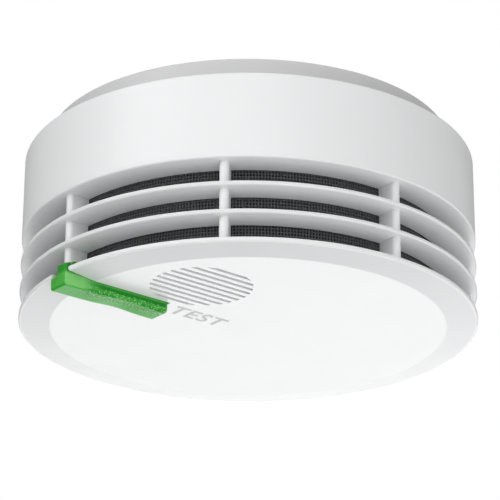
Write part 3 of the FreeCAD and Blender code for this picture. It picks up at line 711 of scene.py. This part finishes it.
def board_material():
    """Green solder mask with copper tracks that show through, and drilled dots."""
    material, tree, shader, coords = new_material("solder_mask")
    tracks = add_node(
        tree,
        "ShaderNodeTexBrick",
        {
            "Vector": coords,
            "Color1": (0.02, 0.16, 0.06, 1),
            "Color2": (0.02, 0.13, 0.05, 1),
            "Mortar": (0.05, 0.30, 0.12, 1),
            "Scale": 130.0,
            "Mortar Size": 0.03,
        },
    )
    gloss = spread(tree, noise(tree, coords, 500.0), 0.22, 0.36)
    feed(tree, shader, {"Base Color": tracks.outputs["Color"], "Roughness": gloss})
    bumped(tree, shader, tracks.outputs["Fac"], 0.03 * MM)
    return material


def sleeve_material():
    """Shrink sleeve of the cell, with a paler band at one end."""
    material, tree, shader, coords = new_material("shrink_sleeve")
    split = add_node(tree, "ShaderNodeSeparateXYZ", {"Vector": coords})
    band = maths(tree, "GREATER_THAN", split.outputs["X"], 10 * MM)
    wear = noise(tree, coords, 220.0)
    blue = blended(tree, wear, (0.05, 0.09, 0.22, 1), (0.06, 0.11, 0.26, 1))
    banded = blended(tree, band, blue, (0.62, 0.63, 0.62, 1))
    feed(tree, shader, {"Base Color": banded, "Roughness": spread(tree, wear, 0.25, 0.38)})
    bumped(tree, shader, wear, 0.02 * MM)
    return material


def light_guide_material(colour):
    """Tinted see-through plastic with painted light and shade: a painted glow at the outer end of one
    side wall, painted shade in darker green down that side and in the slot, with dots.
    """
    material, tree, shader, coords = new_material("tinted_light_guide")
    height = add_node(tree, "ShaderNodeSeparateXYZ", {"Vector": coords}).outputs["Z"]
    reach = dotted(tree, coords, polar(1, BUTTON_BEARING))
    side = dotted(tree, coords, polar(1, BUTTON_BEARING + math.pi / 2))

    def depth(start, end):
        """0 to 1 between two depths under the face plate, in millimetres."""
        return eased(tree, height, FACE_PLANE - start * MM, FACE_PLANE - end * MM)

    def along(start, end):
        """0 to 1 between two reaches, in millimetres."""
        return eased(tree, reach, start * MM, end * MM)

    cloud = noise(tree, coords, 190.0, 2.0)
    shade = blended(tree, cloud, shade_of(colour, 0.85), shade_of(colour, 1.18))
    wall = eased(tree, side, BUTTON_WIDTH / 2 - 0.45 * MM, BUTTON_WIDTH / 2 - 0.1 * MM)
    under = depth(1.9, 2.5)
    shade = blended(tree, times(tree, under, 0.8), shade, shade_of(colour, 0.3, 0.86, 0.3))
    # Painted light: the outer end of one side wall, just below the face, is made much paler, as if
    # brightly lit.
    glow = times(tree, along(50, 54), wall, depth(-1, 0))
    shade = blended(tree, glow, shade, shade_of(colour, 2.6, 1.45, 2.6))

    # Painted shade: darker green along one side wall just below the face, on the part that sits up in
    # the slot, and over the near half of the underside, but not at the inner end.
    painted_shade = times(tree, wall, along(53, 47), depth(0.2, 0.7))
    painted_shade = minus(tree, painted_shade, times(tree, painted_shade, depth(1.2, 1.7), 0.75))
    painted_shade = maths(tree, "MAXIMUM", painted_shade, times(tree, depth(-0.2, -1.4), 0.75))
    near_half = times(tree, along(54, 51), eased(tree, side, -1.0 * MM, 0.8 * MM))
    painted_shade = maths(tree, "MAXIMUM", painted_shade, times(tree, near_half, 0.75, under))
    inner_end = eased(tree, reach, BUTTON_INNER + 1.3 * MM, BUTTON_INNER)
    painted_shade = minus(tree, painted_shade, times(tree, painted_shade, inner_end))
    shade = blended(tree, painted_shade, shade, shade_of(colour, 0.2, 0.6, 0.3))

    cells = add_node(tree, "ShaderNodeTexVoronoi", {"Vector": coords, "Scale": 1700.0})
    dot = eased(tree, cells.outputs["Distance"], 0.45, 0.3)
    dots = times(tree, dot, times(tree, near_half, depth(1.0, 1.5)))
    shade = blended(tree, times(tree, dots, 0.8), shade, shade_of(colour, 3.0, 1.6, 3.0))
    flecks = noise(tree, coords, 1500.0, 2.0)
    bumped(tree, shader, plus(tree, dots, times(tree, flecks, 0.3)), 0.07 * MM)
    looks = {
        "Base Color": shade,
        "Roughness": spread(tree, flecks, 0.22, 0.38),
        "IOR": 1.49,
        "Specular IOR Level": 0.06,
        "Transmission Weight": 0.06,
        "Subsurface Weight": 0.3,
        "Subsurface Radius": (0.6, 1.0, 0.5),
        "Subsurface Scale": 1.5 * MM,
    }
    feed(tree, shader, looks)
    return material


def screen_material(colour):
    """Dark coated wire, a little glossy, with random lighter spots and uneven gloss."""
    material, tree, shader, coords = new_material("screen_wire")
    spots = noise(tree, coords, 1400.0)
    spotted = blended(tree, spots, shade_of(colour, 0.8), shade_of(colour, 1.3))
    feed(tree, shader, {"Base Color": spotted, "Roughness": spread(tree, spots, 0.38, 0.6)})
    bumped(tree, shader, spots, 0.02 * MM)
    return material


# ---- operators, one for each piece or group of like pieces ----


class ALARM_OT_mounting_base(bpy.types.Operator):
    """Build the ceiling base with its skirt, hooks and screw slots"""

    bl_idname = "alarm.mounting_base"
    bl_label = "Mounting Base"

    def execute(self, context):
        shell = context.scene.alarm_shell
        finish = moulded_plastic("base_plastic", shell.base_colour, roughness=0.5)
        low, high = BASE_LOW.z, BASE_HIGH.z
        wall = BASE_RADIUS - BASE_WALL
        plate = high - BASE_WALL
        relief = high - RELIEF_DEPTH
        middle = 8 * MM
        corners = [
            (middle, high, 0),
            (RELIEF_INNER, high, 0.2 * MM),
            (RELIEF_INNER + RELIEF_DEPTH, relief, 0.2 * MM),
            (RELIEF_OUTER - RELIEF_DEPTH, relief, 0.2 * MM),
            (RELIEF_OUTER, high, 0.2 * MM),
            (BASE_RADIUS, high, 0.5 * MM),
            (BASE_RADIUS, low, 0.4 * MM),
            (wall, low, 0.3 * MM),
            (wall, plate, 0.4 * MM),
            (middle, plate, 0),
        ]
        mesh = turned_mesh("mounting_base", rounded_outline(corners), shell.segments, closed=False)
        base = new_piece("ceiling_base", mesh, finish)

        work = bmesh.new()
        spare = 3 * MM
        quarter = math.pi / 2
        for reach in (-SLOT_REACH, SLOT_REACH):
            left = arc(Vector((reach - SLOT_RUN, 0)), SLOT_RADIUS, quarter, 3 * quarter, 16)
            right = arc(Vector((reach + SLOT_RUN, 0)), SLOT_RADIUS, -quarter, quarter, 16)
            prism_into(work, left + right, plate - spare, high + spare)
        boolean(base, new_piece("slot_tool", finished_mesh("slot_tool", work)))
        soften_edges(base, 0.15 * MM)
        hooks = grown(
            "bayonet_hooks",
            self.hook_mesh(wall, low),
            row_tree(),
            {"Count": HOOK_COUNT, "First turn": HOOK_START, "Turn": math.tau / HOOK_COUNT},
            finish,
        )
        work = bmesh.new()
        centre = ((RELIEF_INNER + RELIEF_OUTER) / 2, 0, relief + 0.2 * MM)
        box_into(work, (7.2 * MM, 1.0 * MM, 0.5 * MM), centre)
        ribs = grown(
            "relief_ribs",
            finished_mesh("rib", work),
            row_tree(),
            {"Count": RIB_COUNT, "First turn": math.radians(5), "Turn": math.tau / RIB_COUNT},
            finish,
        )
        soften_edges(ribs, 0.12 * MM)
        place(base, "base", "white_base", "mounting_base")
        place(hooks, "base", "white_base")
        place(ribs, "base", "white_base")
        return {"FINISHED"}

    def hook_mesh(self, wall, low):
        """One bayonet hook with its stop, starting at bearing 0."""
        work = bmesh.new()
        middle = Vector((0, 0))
        outer = wall + 0.1 * MM
        hook = (0, math.radians(14), low + 1.4 * MM)
        stop = (math.radians(14), math.radians(17), -2.1 * MM)
        for start, end, top in (hook, stop):
            inside = arc(middle, HOOK_INNER, start, end, 14)
            outside = arc(middle, outer, end, start, 14)
            prism_into(work, inside + outside, low, top)
        mesh = finished_mesh("hook", work)
        mesh.set_sharp_from_angle(angle=math.radians(40))
        return mesh


class ALARM_OT_upper_shell(bpy.types.Operator):
    """Build the plain band above the louvres"""

    bl_idname = "alarm.upper_shell"
    bl_label = "Band"

    def execute(self, context):
        shell = context.scene.alarm_shell
        inner = BODY_RADIUS - shell.wall
        shelf = BAND_BOTTOM + 1.5 * MM
        corners = [
            (inner, BAND_HIGH.z, 0.3 * MM),
            (inner, shelf, 0.3 * MM),
            (INLET_RADIUS, shelf, 0.2 * MM),
            (INLET_RADIUS, BAND_LOW.z, 0.3 * MM),
            (BODY_RADIUS, BAND_BOTTOM, shell.edge),
            (BODY_RADIUS, BAND_HIGH.z, shell.edge),
        ]
        mesh = turned_mesh("upper_shell", rounded_outline(corners), shell.segments)
        band = new_piece("band", mesh, shell_plastic(shell.colour))
        place(band, "alarm_head", "white_shell", "upper_shell")
        return {"FINISHED"}


class ALARM_OT_louvres(bpy.types.Operator):
    """Build the two louvre rings and the posts between them"""

    bl_idname = "alarm.louvres"
    bl_label = "Louvres and Posts"

    def execute(self, context):
        shell = context.scene.alarm_shell
        finish = shell_plastic(shell.colour)
        top = RING_HIGH.z
        under = top - LOUVRE_THICK
        corners = [
            (INLET_RADIUS, top, 0.25 * MM),
            (INLET_RADIUS, under - LOUVRE_DROP, 0.3 * MM),
            (BODY_RADIUS, under, 0.52 * MM),
            (BODY_RADIUS, top, 0.52 * MM),
        ]
        ring = turned_mesh("louvre", rounded_outline(corners), shell.segments)
        rings = grown("louvre_rings", ring, row_tree(), {"Count": 2, "Drop": LOUVRE_PITCH}, finish)
        place(rings, "alarm_head", "white_shell", "louvre_ring_upper", "louvre_ring_lower")

        step = math.tau / shell.post_count
        button_post = round((BUTTON_BEARING - POST_BEARING) / step) % shell.post_count
        full = grown(
            "posts",
            self.post_mesh(shell.post_width, FACE_BACK - 0.2 * MM),
            row_tree(),
            {
                "Count": shell.post_count - 1,
                "First turn": POST_BEARING + (button_post + 1) * step,
                "Turn": step,
            },
            finish,
        )
        short = grown(
            "button_post",
            self.post_mesh(shell.post_width, BUTTON_TOP + 0.5 * MM),
            row_tree(),
            {"Count": 1, "First turn": BUTTON_BEARING},
            finish,
        )
        place(full, "alarm_head", "white_shell", "louvre_posts")
        place(short, "alarm_head", "white_shell")
        return {"FINISHED"}

    def post_mesh(self, width, low):
        """One upright post along +X: a web with a rounded nose."""
        work = bmesh.new()
        half = width / 2
        root = INLET_RADIUS + 0.1 * MM
        nose = Vector((POST_NOSE - half, 0))
        shoulder = nose.x - 0.2 * MM
        outline = [Vector((root, -half)), Vector((shoulder, -half))]
        outline += arc(nose, half, -math.pi / 2, math.pi / 2, 14)
        outline += [Vector((shoulder, half)), Vector((root, half))]
        prism_into(work, outline, low, BAND_BOTTOM + 0.2 * MM)
        mesh = finished_mesh("post", work)
        mesh.set_sharp_from_angle(angle=math.radians(40))
        return mesh


class ALARM_OT_insect_screen(bpy.types.Operator):
    """Build the fine wire screen behind the louvres"""

    bl_idname = "alarm.insect_screen"
    bl_label = "Insect Screen"

    def execute(self, context):
        screen = context.scene.alarm_screen
        wire = screen.wire
        step = math.tau / screen.uprights
        gap = math.ceil((BUTTON_WIDTH + 1.2 * MM) / (SCREEN_RADIUS * step)) + 1
        screen_piece = grown(
            "wire_screen",
            bpy.data.meshes.new("wire_screen"),
            screen_tree(),
            {
                "Radius": SCREEN_RADIUS - wire,
                "Wire": wire,
                "Uprights": screen.uprights,
                "Rows": screen.rows,
                "Low": SCREEN_LOW.z + wire,
                "Height": SCREEN_HIGH.z - SCREEN_LOW.z - 2 * wire,
                "Gap start": BUTTON_BEARING - gap / 2 * step,
                "Gap uprights": gap,
                "Gap rows": 3,
            },
            screen_material(screen.colour),
        )
        place(screen_piece, "alarm_head", "screen_mesh", "insect_screen")
        return {"FINISHED"}


class ALARM_OT_face_plate(bpy.types.Operator):
    """Build the face plate with its bevelled rim, grille and open slot for the button"""

    bl_idname = "alarm.face_plate"
    bl_label = "Face Plate"

    def execute(self, context):
        shell = context.scene.alarm_shell
        grille = context.scene.alarm_grille
        finish = face_plastic(shell.colour)
        flat = FACE_FLAT - 0.5 * MM
        cut = 8 * MM
        corners = [
            (flat, FACE_BACK, 0),
            (BODY_RADIUS, FACE_BACK, 0.4 * MM),
            (BODY_RADIUS, FACE_BACK - 1.15 * MM, 0.45 * MM),
            (FACE_FLAT, FACE_PLANE, 1.5 * MM),
            (flat, FACE_PLANE, 0),
        ]
        mesh = turned_mesh("face_plate", rounded_outline(corners), shell.segments, closed=False)
        plate = new_piece("face_plate", mesh, finish)

        tool = grown(
            "grille_tool",
            bpy.data.meshes.new("grille_tool"),
            grille_tree(),
            {
                "Count": grille.count,
                "Pitch": grille.pitch,
                "Width": grille.width,
                "Depth": cut,
                "Radius": grille.radius,
            },
            finish,
        )
        spot = Matrix.Translation((SOUNDER.x, SOUNDER.y, FACE_PLANE))
        tool.data.transform(spot @ Matrix.Rotation(BUTTON_BEARING, 4, "Z"))
        boolean(plate, tool)

        work = bmesh.new()
        inner = BUTTON_INNER - 0.3 * MM
        outer = BUTTON_OUTER + 1 * MM
        size = (outer - inner, BUTTON_WIDTH + 0.6 * MM, cut)
        centre = polar((inner + outer) / 2, BUTTON_BEARING, FACE_PLANE)
        box_into(work, size, centre, BUTTON_BEARING)
        boolean(plate, new_piece("channel_tool", finished_mesh("channel_tool", work)))
        soften_edges(plate, 0.12 * MM)
        place(plate, "alarm_head", "white_shell", "front_cover")
        return {"FINISHED"}


class ALARM_OT_legend(bpy.types.Operator):
    """Build the plain capitals that say what the button does"""

    bl_idname = "alarm.legend"
    bl_label = "Legend"

    def execute(self, context):
        grille = context.scene.alarm_grille
        finish = moulded_plastic("legend_print", grille.legend_colour, roughness=0.5)
        text = bpy.data.curves.new("legend", "FONT")
        text.body = "TEST"
        text.align_x = "CENTER"
        text.align_y = "CENTER"
        capital_share = 0.7
        text.size = grille.legend_height / capital_share
        text.space_character = 1.1
        text.extrude = 0.05 * MM
        text.offset = 0.09 * MM
        holder = new_piece("test_legend", text)
        graph = context.evaluated_depsgraph_get()
        mesh = bpy.data.meshes.new_from_object(holder.evaluated_get(graph), depsgraph=graph)
        bpy.data.objects.remove(holder)
        along = -polar(1, BUTTON_BEARING)
        out = Vector((0, 0, -1))
        up = out.cross(along)
        centre = polar(16.6 * MM, BUTTON_BEARING, FACE_PLANE) + up * 0.3 * MM
        turn = Matrix((along, up, out)).transposed().to_4x4()
        mesh.transform(Matrix.Translation(centre) @ turn)
        legend = new_piece("test_legend", mesh, finish)
        place(legend, "alarm_head", "white_shell")
        return {"FINISHED"}


class ALARM_OT_test_button(bpy.types.Operator):
    """Build the see-through rocker that is both button and light guide"""

    bl_idname = "alarm.test_button"
    bl_label = "Test Button"

    def execute(self, context):
        button = context.scene.alarm_button
        bar = new_piece("rocker_button", self.bar_mesh(button), light_guide_material(button.colour))
        work = bmesh.new()
        stem = 2.8 * MM
        pin_radius, pin_length = 0.95 * MM, 10 * MM
        # reach, height of the middle, length
        stems = ((33 * MM, -40.7 * MM, 14.7 * MM), (40 * MM, -39.25 * MM, 17.7 * MM))
        for reach, middle, length in stems:
            centre = polar(reach, BUTTON_BEARING, middle)
            box_into(work, (stem, stem, length), centre, BUTTON_BEARING)
        lie = Matrix.Rotation(BUTTON_BEARING, 4, "Z") @ Matrix.Rotation(math.pi / 2, 4, "X")
        spot = Matrix.Translation(polar(HINGE_REACH, BUTTON_BEARING, HINGE_HEIGHT)) @ lie
        bmesh.ops.create_cone(
            work,
            cap_ends=True,
            segments=32,
            radius1=pin_radius,
            radius2=pin_radius,
            depth=pin_length,
            matrix=spot,
        )
        boolean(bar, new_piece("stems", finished_mesh("stems", work)), "UNION")
        bar.data.set_sharp_from_angle(angle=math.radians(50))
        place(bar, "test_button", "clear_green", "test_button")
        return {"FINISHED"}

    def underside(self, button, reach):
        """Height of the bar's underside at a reach: level, with a dip for the finger."""
        saddle = math.exp(-(((reach - 40 * MM) / (5.5 * MM)) ** 2))
        return FACE_PLANE - 2.7 * MM + button.dip * 0.8 * saddle

    def bar_mesh(self, button):
        """The bar as a loft of rounded sections from its inner end to the rim."""
        work = bmesh.new()
        stations = 150
        across = 24
        corner = 0.55 * MM
        rows = []
        for station in range(stations + 1):
            share = station / stations
            reach = BUTTON_INNER + (BUTTON_OUTER - BUTTON_INNER) * share
            inner_gap = reach - BUTTON_INNER
            outer_gap = BUTTON_OUTER - reach
            inset = self.end_inset(inner_gap, 0.9 * MM) + self.end_inset(outer_gap, 0.5 * MM)
            half = BUTTON_WIDTH / 2 - inset
            low = self.underside(button, reach) + inset
            row = []
            for step in range(across + 1):
                side = (2 * step / across - 1) * half
                edge = half - abs(side)
                lift = corner - math.sqrt(max(corner**2 - max(corner - edge, 0) ** 2, 0))
                row.append(polar_side(reach, side, low + lift + self.grain(button, reach, side)))
            past_rim = self.rim_step(reach)
            raised = BUTTON_TOP - TAB_DROP * past_rim
            lowered = BUTTON_TOP - STEP_DROP * past_rim
            split = TAB_WIDTH - half
            row.append(polar_side(reach, half, raised))
            row.append(polar_side(reach, split + 0.3 * MM, raised))
            row.append(polar_side(reach, split, lowered))
            row.append(polar_side(reach, -half, lowered))
            rows.append([work.verts.new(point) for point in row])
        for here, after in zip(rows, rows[1:]):
            count = len(here)
            for index in range(count):
                other = (index + 1) % count
                work.faces.new((here[index], here[other], after[other], after[index]))
        work.faces.new(rows[0])
        work.faces.new(rows[-1])
        bmesh.ops.recalc_face_normals(work, faces=work.faces)
        return finished_mesh("rocker", work)

    def rim_step(self, reach):
        """0 inside the face plate's rim and 1 outside it, where only a narrow tab stays tall."""
        share = min(max((reach - TAB_START) / TAB_RUN, 0), 1)
        return share * share * (3 - 2 * share)

    def end_inset(self, gap, radius):
        """How far a rounded end pulls the section in, at a gap from the end."""
        if gap >= radius:
            return 0.0
        return radius - math.sqrt(radius**2 - (radius - gap) ** 2)

    def grain(self, button, reach, side):
        """Dimples over the middle of the underside that scatter the light."""
        start, end = 31 * MM, 54 * MM
        fade = min(max((reach - start) / (2 * MM), 0), 1) * min(max((end - reach) / (2 * MM), 0), 1)
        fade *= min(max((2.5 * MM - abs(side)) / (0.5 * MM), 0), 1)
        wave = math.sin(reach * math.tau / (0.9 * MM)) * math.sin(side * math.tau / (0.9 * MM))
        return button.grain * fade * wave


class ALARM_OT_inner_finishes(bpy.types.Operator):
    """Give the carried-over inner parts their finishes"""

    bl_idname = "alarm.inner_finishes"
    bl_label = "Inner Parts"

    def execute(self, context):
        white = moulded_plastic("inner_plastic", (0.72, 0.72, 0.70, 1), roughness=0.5)
        black = moulded_plastic("black_plastic", (0.015, 0.015, 0.016, 1), roughness=0.55)
        dull = moulded_plastic("chamber_plastic", (0.008, 0.008, 0.009, 1), roughness=0.85)
        steel = metal("plated_steel", (0.62, 0.63, 0.64, 1))
        nickel = metal("nickel_strip", (0.70, 0.68, 0.64, 1), roughness=0.22)
        brass = metal("brass_sheet", (0.70, 0.50, 0.20, 1), roughness=0.28)
        tin = metal("drawn_can", (0.72, 0.72, 0.73, 1), roughness=0.34)
        ferrite = moulded_plastic("ferrite", (0.03, 0.028, 0.028, 1), roughness=0.7, grain=0.05 * MM)
        epoxy = moulded_plastic("tinted_epoxy", (0.16, 0.17, 0.28, 1), roughness=0.15)
        foam = moulded_plastic("foam", (0.05, 0.05, 0.052, 1), roughness=0.9, grain=0.2 * MM)
        ceramic = moulded_plastic("silvered_ceramic", (0.66, 0.64, 0.58, 1), roughness=0.4)
        paper = moulded_plastic("label_film", (0.62, 0.63, 0.62, 1), roughness=0.35)
        finishes = {
            white: ("rear_housing", "module_bay_cover", "switch_plunger"),
            black: (
                "battery_cradle",
                "microcontroller",
                "module_header",
                "sounder_horn",
                "switch_body",
            ),
            dull: ("chamber_base", "chamber_labyrinth"),
            steel: ("board_screws", "sounder_contacts"),
            nickel: ("battery_tabs",),
            brass: ("piezo_disc",),
            tin: ("capacitors",),
            ferrite: ("inductor",),
            epoxy: ("infrared_led", "photodiode", "status_led"),
            foam: ("sounder_gasket",),
            ceramic: ("piezo_ceramic",),
            paper: ("rating_label",),
            board_material(): ("circuit_board",),
            sleeve_material(): ("battery_cell",),
        }
        for material, nodes in finishes.items():
            for node in nodes:
                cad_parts[node].material_slots[0].material = material
        return {"FINISHED"}


class ALARM_OT_stage(bpy.types.Operator):
    """Set up the pale floor, the soft lights and the camera"""

    bl_idname = "alarm.stage"
    bl_label = "Stage"

    def execute(self, context):
        stage = context.scene.alarm_stage
        self.make_floor(stage)
        self.make_world(context, stage)
        self.make_lights(context)
        self.make_camera(context, stage)
        context.scene.view_settings.view_transform = "Standard"
        return {"FINISHED"}

    def make_floor(self, stage):
        """A wide pale floor, far below the alarm, that sweeps up all round into a low wall."""
        material, tree, shader, coords = new_material("pale_floor")
        cloud = noise(tree, coords, 1.5)
        colour = blended(tree, cloud, (0.86, 0.86, 0.86, 1), (0.90, 0.90, 0.90, 1))
        split = add_node(tree, "ShaderNodeSeparateXYZ", {"Vector": coords})
        flat, bend = 3.5, 2.5
        rightward = eased(tree, split.outputs["X"], -bend, bend)
        glow = maths(tree, "MULTIPLY_ADD", rightward, 0.5 * stage.glow, 0.72 * stage.glow)
        feed(tree, shader, {"Base Color": colour, "Emission Color": colour})
        feed(tree, shader, {"Emission Strength": glow, "Roughness": 0.9})
        sweep = Vector((flat, bend - stage.floor_drop))
        profile = [Vector((0.01, -stage.floor_drop))]
        profile += arc(sweep, bend, -math.pi / 2, 0, 24)
        mesh = turned_mesh("floor", profile, 96, closed=False, lid=False)
        new_piece("floor", mesh, material)

    def make_world(self, context, stage):
        """Even light all round; the camera sees plain white behind the alarm."""
        world = bpy.data.worlds.new("studio")
        world.use_nodes = True
        tree = world.node_tree
        tree.nodes.clear()
        plain = (1, 1, 1, 1)
        backdrop = "ShaderNodeBackground"
        soft = add_node(tree, backdrop, {"Color": plain, "Strength": stage.ambient}).outputs[0]
        white = add_node(tree, backdrop, {"Color": plain, "Strength": 1.0}).outputs[0]
        seen = tree.nodes.new("ShaderNodeLightPath").outputs["Is Camera Ray"]
        mix = add_node(tree, "ShaderNodeMixShader", {0: seen, 1: soft, 2: white})
        add_node(tree, "ShaderNodeOutputWorld", {"Surface": mix.outputs[0]})
        context.scene.world = world

    def make_lights(self, context):
        """Soft panels round the alarm. The far low one skims the face; two small ones stand near."""
        middle = Vector((0, 0, -30 * MM))
        # name, bearing from the front, lift in degrees, distance in metres, power in watts
        panels = (
            ("far_low", 180, -15, 1.2, 4.9),
            ("left_high", -50, 28, 1.2, 6.3),
            ("above", 0, 84, 1.2, 3.0),
            ("front_high", 0, 28, 1.2, 3.3),
            ("right_high", 50, 28, 1.2, 1.2),
            ("front_low", -10, -42, 1.2, 1.1),
            ("front_level", 10, -8, 1.2, 0.4),
            ("right_level", 100, -20, 0.45, 0.16),
            ("right_low", 30, -50, 0.4, 0.24),
        )
        for name, bearing, lift, distance, power in panels:
            turn = math.radians(bearing - 90)
            rise = math.radians(lift)
            away = polar(math.cos(rise), turn, math.sin(rise))
            light = bpy.data.lights.new(name, "AREA")
            light.shape = "SQUARE"
            light.size = distance * 2 / 3
            light.energy = power
            lamp = bpy.data.objects.new(name, light)
            lamp.location = middle + away * distance
            lamp.rotation_euler = (-away).to_track_quat("-Z", "Y").to_euler()
            lamp.visible_camera = False
            context.scene.collection.objects.link(lamp)

    def make_camera(self, context, stage):
        """A long lens from below and in front, aimed a little under the middle of the alarm."""
        back = Vector((0, -math.cos(stage.elevation), -math.sin(stage.elevation)))
        pivot = Vector((0, 0, -24 * MM))
        aside, below = 0.36 * MM, 4.4 * MM
        spot = pivot + back * stage.distance
        right = Vector((1, 0, 0))
        up = right.cross(-back)
        aim = pivot + right * aside - up * below
        look = (aim - spot).to_track_quat("-Z", "Y").to_matrix().to_4x4()
        data = bpy.data.cameras.new("camera")
        data.lens = stage.lens
        data.sensor_width = 36
        data.clip_start = 0.01
        camera = bpy.data.objects.new("camera", data)
        camera.matrix_world = Matrix.Translation(spot) @ look @ Matrix.Rotation(stage.roll, 4, "Z")
        context.scene.collection.objects.link(camera)
        context.scene.camera = camera


OPERATORS = (
    ALARM_OT_mounting_base,
    ALARM_OT_upper_shell,
    ALARM_OT_louvres,
    ALARM_OT_insect_screen,
    ALARM_OT_face_plate,
    ALARM_OT_legend,
    ALARM_OT_test_button,
    ALARM_OT_inner_finishes,
    ALARM_OT_stage,
)


class ALARM_PT_panel(bpy.types.Panel):
    """Lists the alarm's settings and build steps"""

    bl_idname = "ALARM_PT_panel"
    bl_label = "Smoke Alarm"
    bl_space_type = "VIEW_3D"
    bl_region_type = "UI"
    bl_category = "Smoke Alarm"

    def draw(self, context):
        for name, group in SETTINGS.items():
            box = self.layout.box()
            for prop in group.__annotations__:
                box.prop(getattr(context.scene, name), prop)
        for operator in OPERATORS:
            self.layout.operator(operator.bl_idname)


def register():
    """Register the settings, operators and panel."""
    for name, group in SETTINGS.items():
        bpy.utils.register_class(group)
        setattr(bpy.types.Scene, name, bpy.props.PointerProperty(type=group))
    for item in OPERATORS + (ALARM_PT_panel,):
        bpy.utils.register_class(item)


def unregister():
    """Take the settings, operators and panel away again."""
    for item in reversed(OPERATORS + (ALARM_PT_panel,)):
        bpy.utils.unregister_class(item)
    for name, group in SETTINGS.items():
        delattr(bpy.types.Scene, name)
        bpy.utils.unregister_class(group)


def main():
    """Build every piece in order."""
    register()
    bpy.ops.alarm.mounting_base()
    bpy.ops.alarm.upper_shell()
    bpy.ops.alarm.louvres()
    bpy.ops.alarm.insect_screen()
    bpy.ops.alarm.face_plate()
    bpy.ops.alarm.legend()
    bpy.ops.alarm.test_button()
    bpy.ops.alarm.inner_finishes()
    bpy.ops.alarm.stage()


if __name__ == "__main__":
    main()
